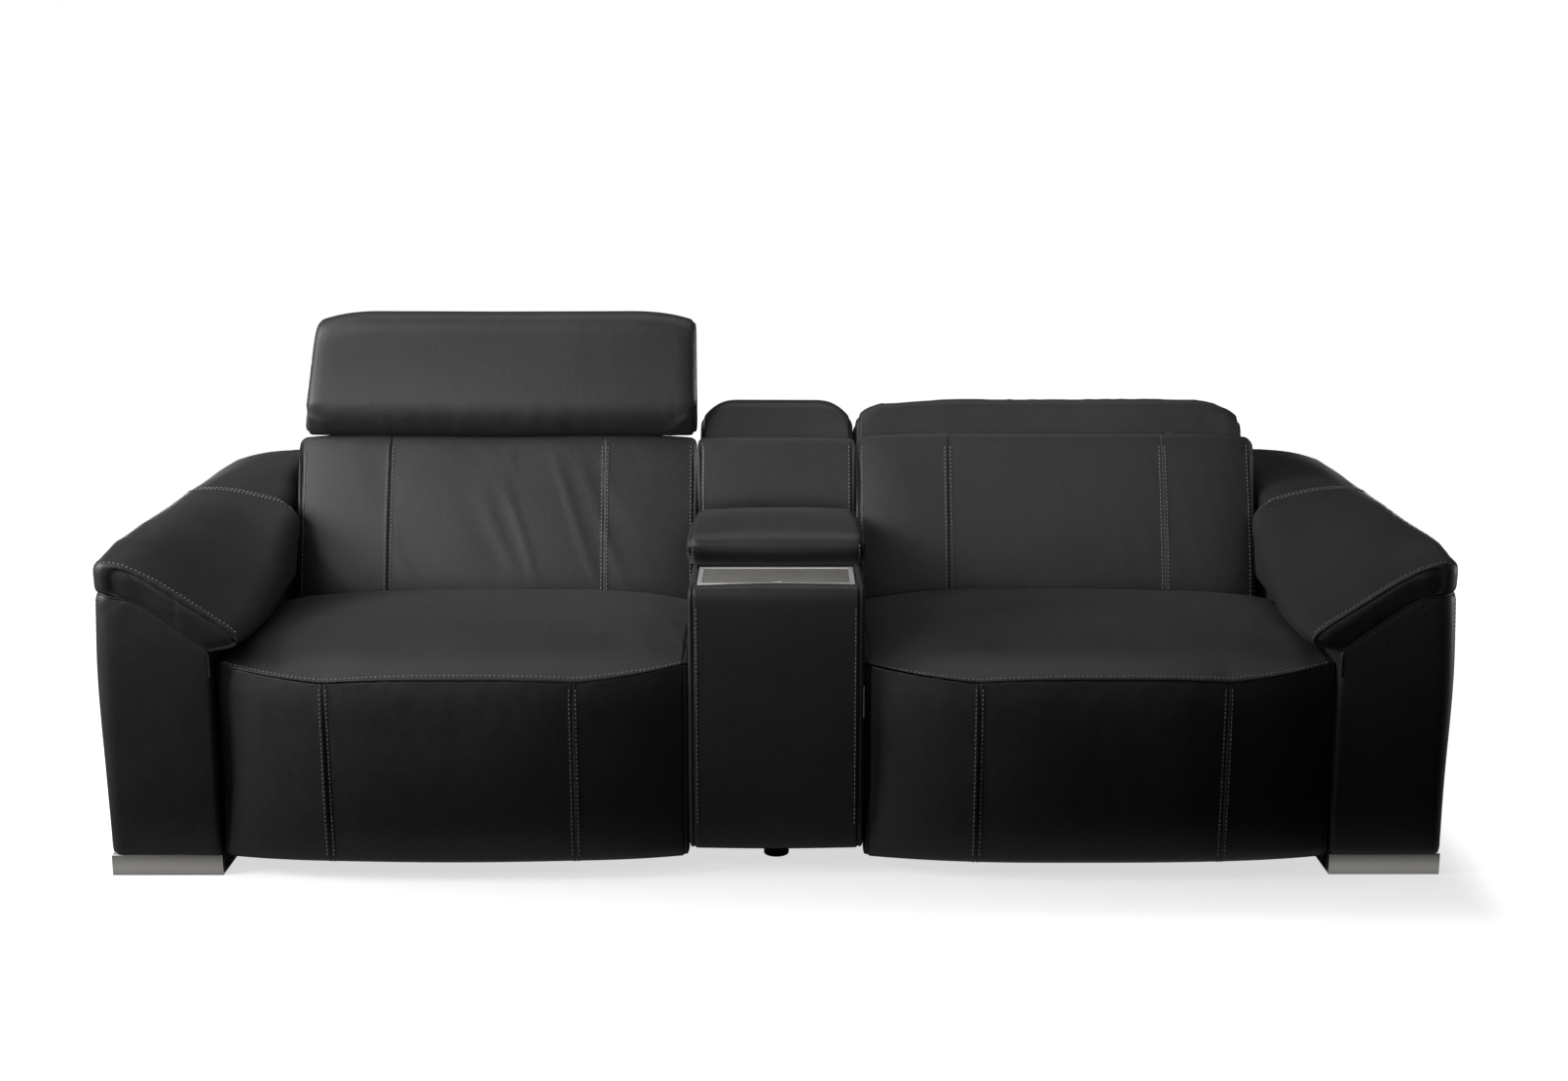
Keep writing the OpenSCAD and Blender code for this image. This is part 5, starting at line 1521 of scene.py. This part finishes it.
    def build_roll(self) -> None:
        """The fixed roll on the console's back, shaped as a lowered headrest."""
        box = Extent.of("console_top_roll")
        raised = Extent.of("left_headrest")
        half, radius = box.half_x + 0.0015, 0.013
        edge = half - 0.006
        x = stations(half, radius, (-edge, edge), 0.009)
        u = np.abs(x) / half
        y0, y1, z0, z1 = raised.y0, raised.y1, raised.z0, raised.z1
        crown = 0.048 * np.clip((np.abs(x) - half + 0.085) / 0.085, 0, 1) ** 2.6 - 0.018
        height = z1 - z0
        rings = lofted(x, half, radius, [
            (y0 + 0.006 + crown, z0, 0.040, 0.8),
            (y0 + 0.006 + crown, z0 + height * 0.55, 0.095, 1),
            (y0 + 0.001 + crown, z1 - 0.010 * u**3, 0.042, 1),
            (y1, z1 - 0.010 * u**3, 0.036, 1.5),
            (y1, z0, 0.028, 1.5),
        ])
        skin = Skin(ringed(x[:, None], rings), 0.003)
        px, _, pz = skin.axes
        skin.swell(px, pz, 0.12, 0.0014, 270)
        skin.side_seams(edge, (0.014, 0.011, 0.0006), 272, 0.5)
        skin.flatten(half)
        skin.points = turned(skin.points, joint_place("right_headrest_tilt"), Headrest.lowered)
        Cover("console_top_roll", skin.piece("console_roll_cover"), 0.75).finish()

    def build_fittings(self) -> None:
        """Tray, cups, bin, switches and inlet with rounded edges."""
        for node, width, finish in (
            ("tray_frame", 0.0007, Finish.RIM),
            ("tray_flap", 0.0007, Finish.NICKEL),
            ("switch_plates", 0.0006, Finish.PLASTIC),
            ("power_inlet", 0.0008, Finish.PLASTIC),
            ("cup_insert", 0.0008, Finish.PLASTIC),
            ("console_bin", 0.0007, Finish.PLASTIC),
        ):
            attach(softened(node, width, finish), body_of(node))
        for side in Side:
            for kind in ("footrest_rocker", "recline_rocker"):
                node = side.node(kind)
                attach(softened(node, 0.0008, Finish.SWITCH), body_of(node))


def build_feet() -> None:
    """The metal block feet in front and the round ones elsewhere."""
    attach(softened("front_feet", 0.0014, Finish.NICKEL), "base")
    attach(softened("round_feet", 0.002, Finish.PLASTIC), "base")


def dress_frame() -> None:
    """Gives every carried-over node the finish of its slot."""
    finishes = {finish.slot: finish for finish in Finish if finish is not Finish.THREAD}
    for part in FRAME["record"]["subparts"]:
        node = FRAME["nodes"][part["node"]]
        material = finishes[part["material_slot"]].material()
        node.data.materials.clear()
        node.data.materials.append(material)


@dataclass
class Studio:
    """Floor, light and camera."""

    focal: float = 46.24
    pitch: float = 12.119
    yaw: float = 0.116
    camera_place: tuple[float, float, float] = (0.0075, -4.1601, 1.4554)
    floor_size: float = 24.0
    # Depth and extent of the floor's painted shadow under the sofa and just in front of it.
    floor_shade: float = 0.34
    shade_side_squared: tuple[float, float] = (1.66, 2.05)
    shade_front: tuple[float, float] = (-0.86, -0.60)
    shade_rear: tuple[float, float] = (0.3, 0.6)
    # Strength and reach of the painted glow on the floor that the front feet mirror.
    floor_sheen: float = 0.42
    sheen_front: tuple[float, float] = (-0.50, -0.44)
    sheen_reach: tuple[float, float] = (0.10, 0.19)
    ambient: float = 0.002

    def build(self) -> None:
        """Sets up the whole studio."""
        self.floor()
        self.world()
        self.lamp("top_softbox", (-0.35, 0.10, 2.4), (-0.35, 0.0, 0.4), (3.8, 1.0), 14.1, 140)
        self.lamp("side_softbox", (-3.2, -0.8, 1.8), (-0.5, 0.0, 0.5), (1.5, 1.5), 52.0, 120)
        self.lamp("front_spot", (-1.9, -2.5, 2.1), (-0.25, 0.1, 0.95), (1.2, 0.9), 4.6, 50)
        self.lamp("front_strip", (0.0, -2.6, 0.95), (0.0, 0.0, 0.75), (3.2, 0.3), 0.68, 30)
        self.lamp("back_spot", (1.2, -2.5, 2.3), (0.65, 0.15, 0.88), (0.9, 0.5), 0.50, 32)
        for side in Side:
            self.lamp(side.node("rear_softbox"), (2.6 * side.value, 2.7, 0.5), (0.0, 0.5, 0.5), (1.0, 0.6), 11.0, 100)
        self.lamp("right_softbox", (3.6, 0.4, 0.40), (1.2, 0.2, 0.30), (1.6, 0.5), 5.0, 80)
        self.lamp("right_fill", (1.9, -3.0, 2.4), (0.6, 0.1, 0.6), (1.5, 1.0), 0.25, 100)
        self.camera()
        bpy.context.scene.view_settings.view_transform = "Standard"

    def floor(self) -> None:
        """A white floor, greyed under the sofa and just in front of it by a painted shadow, with a painted glow that
        the front feet mirror.
        """
        deselect()
        bpy.ops.mesh.primitive_plane_add(size=self.floor_size)
        plane = bpy.context.object
        plane.name = "studio_floor"
        g = Graph("white_floor")
        seen = g.node("ShaderNodeLightPath", output="Is Camera Ray")
        mirrored_in = g.node("ShaderNodeLightPath", output="Is Glossy Ray")
        # Nearly black to all but camera rays, so the floor throws almost no light back onto the sofa.
        diffuse = g.node("ShaderNodeBsdfDiffuse", {}, {"Color": g.blend((0.02, 0.02, 0.02), (0.5, 0.5, 0.5), seen)})
        across = g.node("ShaderNodeSeparateXYZ", {}, {0: g.place()}, output="X")
        forward = g.node("ShaderNodeSeparateXYZ", {}, {0: g.place()}, output="Y")
        # Painted shadow: the floor's glow is turned down under the sofa and just in front of it, on top of the real
        # shadows in its diffuse part.
        sides = 1 - (across * across).ramp(*self.shade_side_squared)
        shaded = sides * forward.ramp(*self.shade_front) * (1 - forward.ramp(*self.shade_rear))
        # Painted glow that only glossy rays shorter than about 0.19 m, in front of the sofa, see, so the front feet
        # mirror a bright floor.
        near = 1 - g.node("ShaderNodeLightPath", output="Ray Length").ramp(*self.sheen_reach)
        ahead = 1 - forward.ramp(*self.sheen_front)
        strength = seen * (1 - shaded * self.floor_shade) + mirrored_in * near * ahead * self.floor_sheen
        glow = g.node("ShaderNodeEmission", {}, {"Strength": strength})
        g.end(g.node("ShaderNodeAddShader", {}, {0: diffuse, 1: glow}))
        plane.data.materials.append(g.material)

    def world(self) -> None:
        """Even light from all round, white where the camera sees it."""
        world = bpy.data.worlds.new("studio")
        world.use_nodes = True
        tree = world.node_tree
        background = tree.nodes["Background"]
        background.inputs["Color"].default_value = (1, 1, 1, 1)
        path = tree.nodes.new("ShaderNodeLightPath")
        level = tree.nodes.new("ShaderNodeMapRange")
        level.inputs["To Min"].default_value = self.ambient
        level.inputs["To Max"].default_value = 1.0
        tree.links.new(path.outputs["Is Camera Ray"], level.inputs["Value"])
        tree.links.new(level.outputs["Result"], background.inputs["Strength"])
        bpy.context.scene.world = world

    def lamp(self, name: str, place: tuple, aim: tuple, size: tuple, power: float, spread: float) -> None:
        """One softbox.

        Args:
            name: the lamp's name.
            place: its middle.
            aim: the point it faces.
            size: its width and height.
            power: its power in watts.
            spread: full angle of its beam, in degrees.
        """
        light = bpy.data.lights.new(name, "AREA")
        light.shape = "RECTANGLE"
        light.size, light.size_y = size
        light.energy = power
        light.spread = math.radians(spread)
        lamp = bpy.data.objects.new(name, light)
        lamp.location = place
        lamp.rotation_euler = (Vector(aim) - Vector(place)).to_track_quat("-Z", "Y").to_euler()
        bpy.context.scene.collection.objects.link(lamp)

    def camera(self) -> None:
        """The camera, at the photograph's place and angle."""
        lens = bpy.data.cameras.new("camera")
        lens.lens = self.focal
        lens.sensor_width = 36.0
        lens.clip_end = 200.0
        camera = bpy.data.objects.new("camera", lens)
        camera.location = self.camera_place
        camera.rotation_euler = (math.radians(90 - self.pitch), 0, -math.radians(self.yaw))
        bpy.context.scene.collection.objects.link(camera)
        bpy.context.scene.camera = camera


def main() -> None:
    """Builds the sofa's looks piece by piece."""
    logging.basicConfig(level=logging.INFO, format="%(name)s: %(message)s")
    FRAME.update(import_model())
    Studio().build()
    dress_frame()
    for side in Side:
        seat, back, arm = Seat(side), Back(side), Arm(side)
        seat.build_cushion()
        seat.build_footrest()
        back.build_cushion()
        back.build_shell()
        Headrest(side).build()
        arm.build_body()
        arm.build_pad()
    console = Console()
    console.build_body()
    console.build_lid_pad()
    console.build_back()
    console.build_roll()
    console.build_fittings()
    build_feet()


if __name__ == "__main__":
    main()
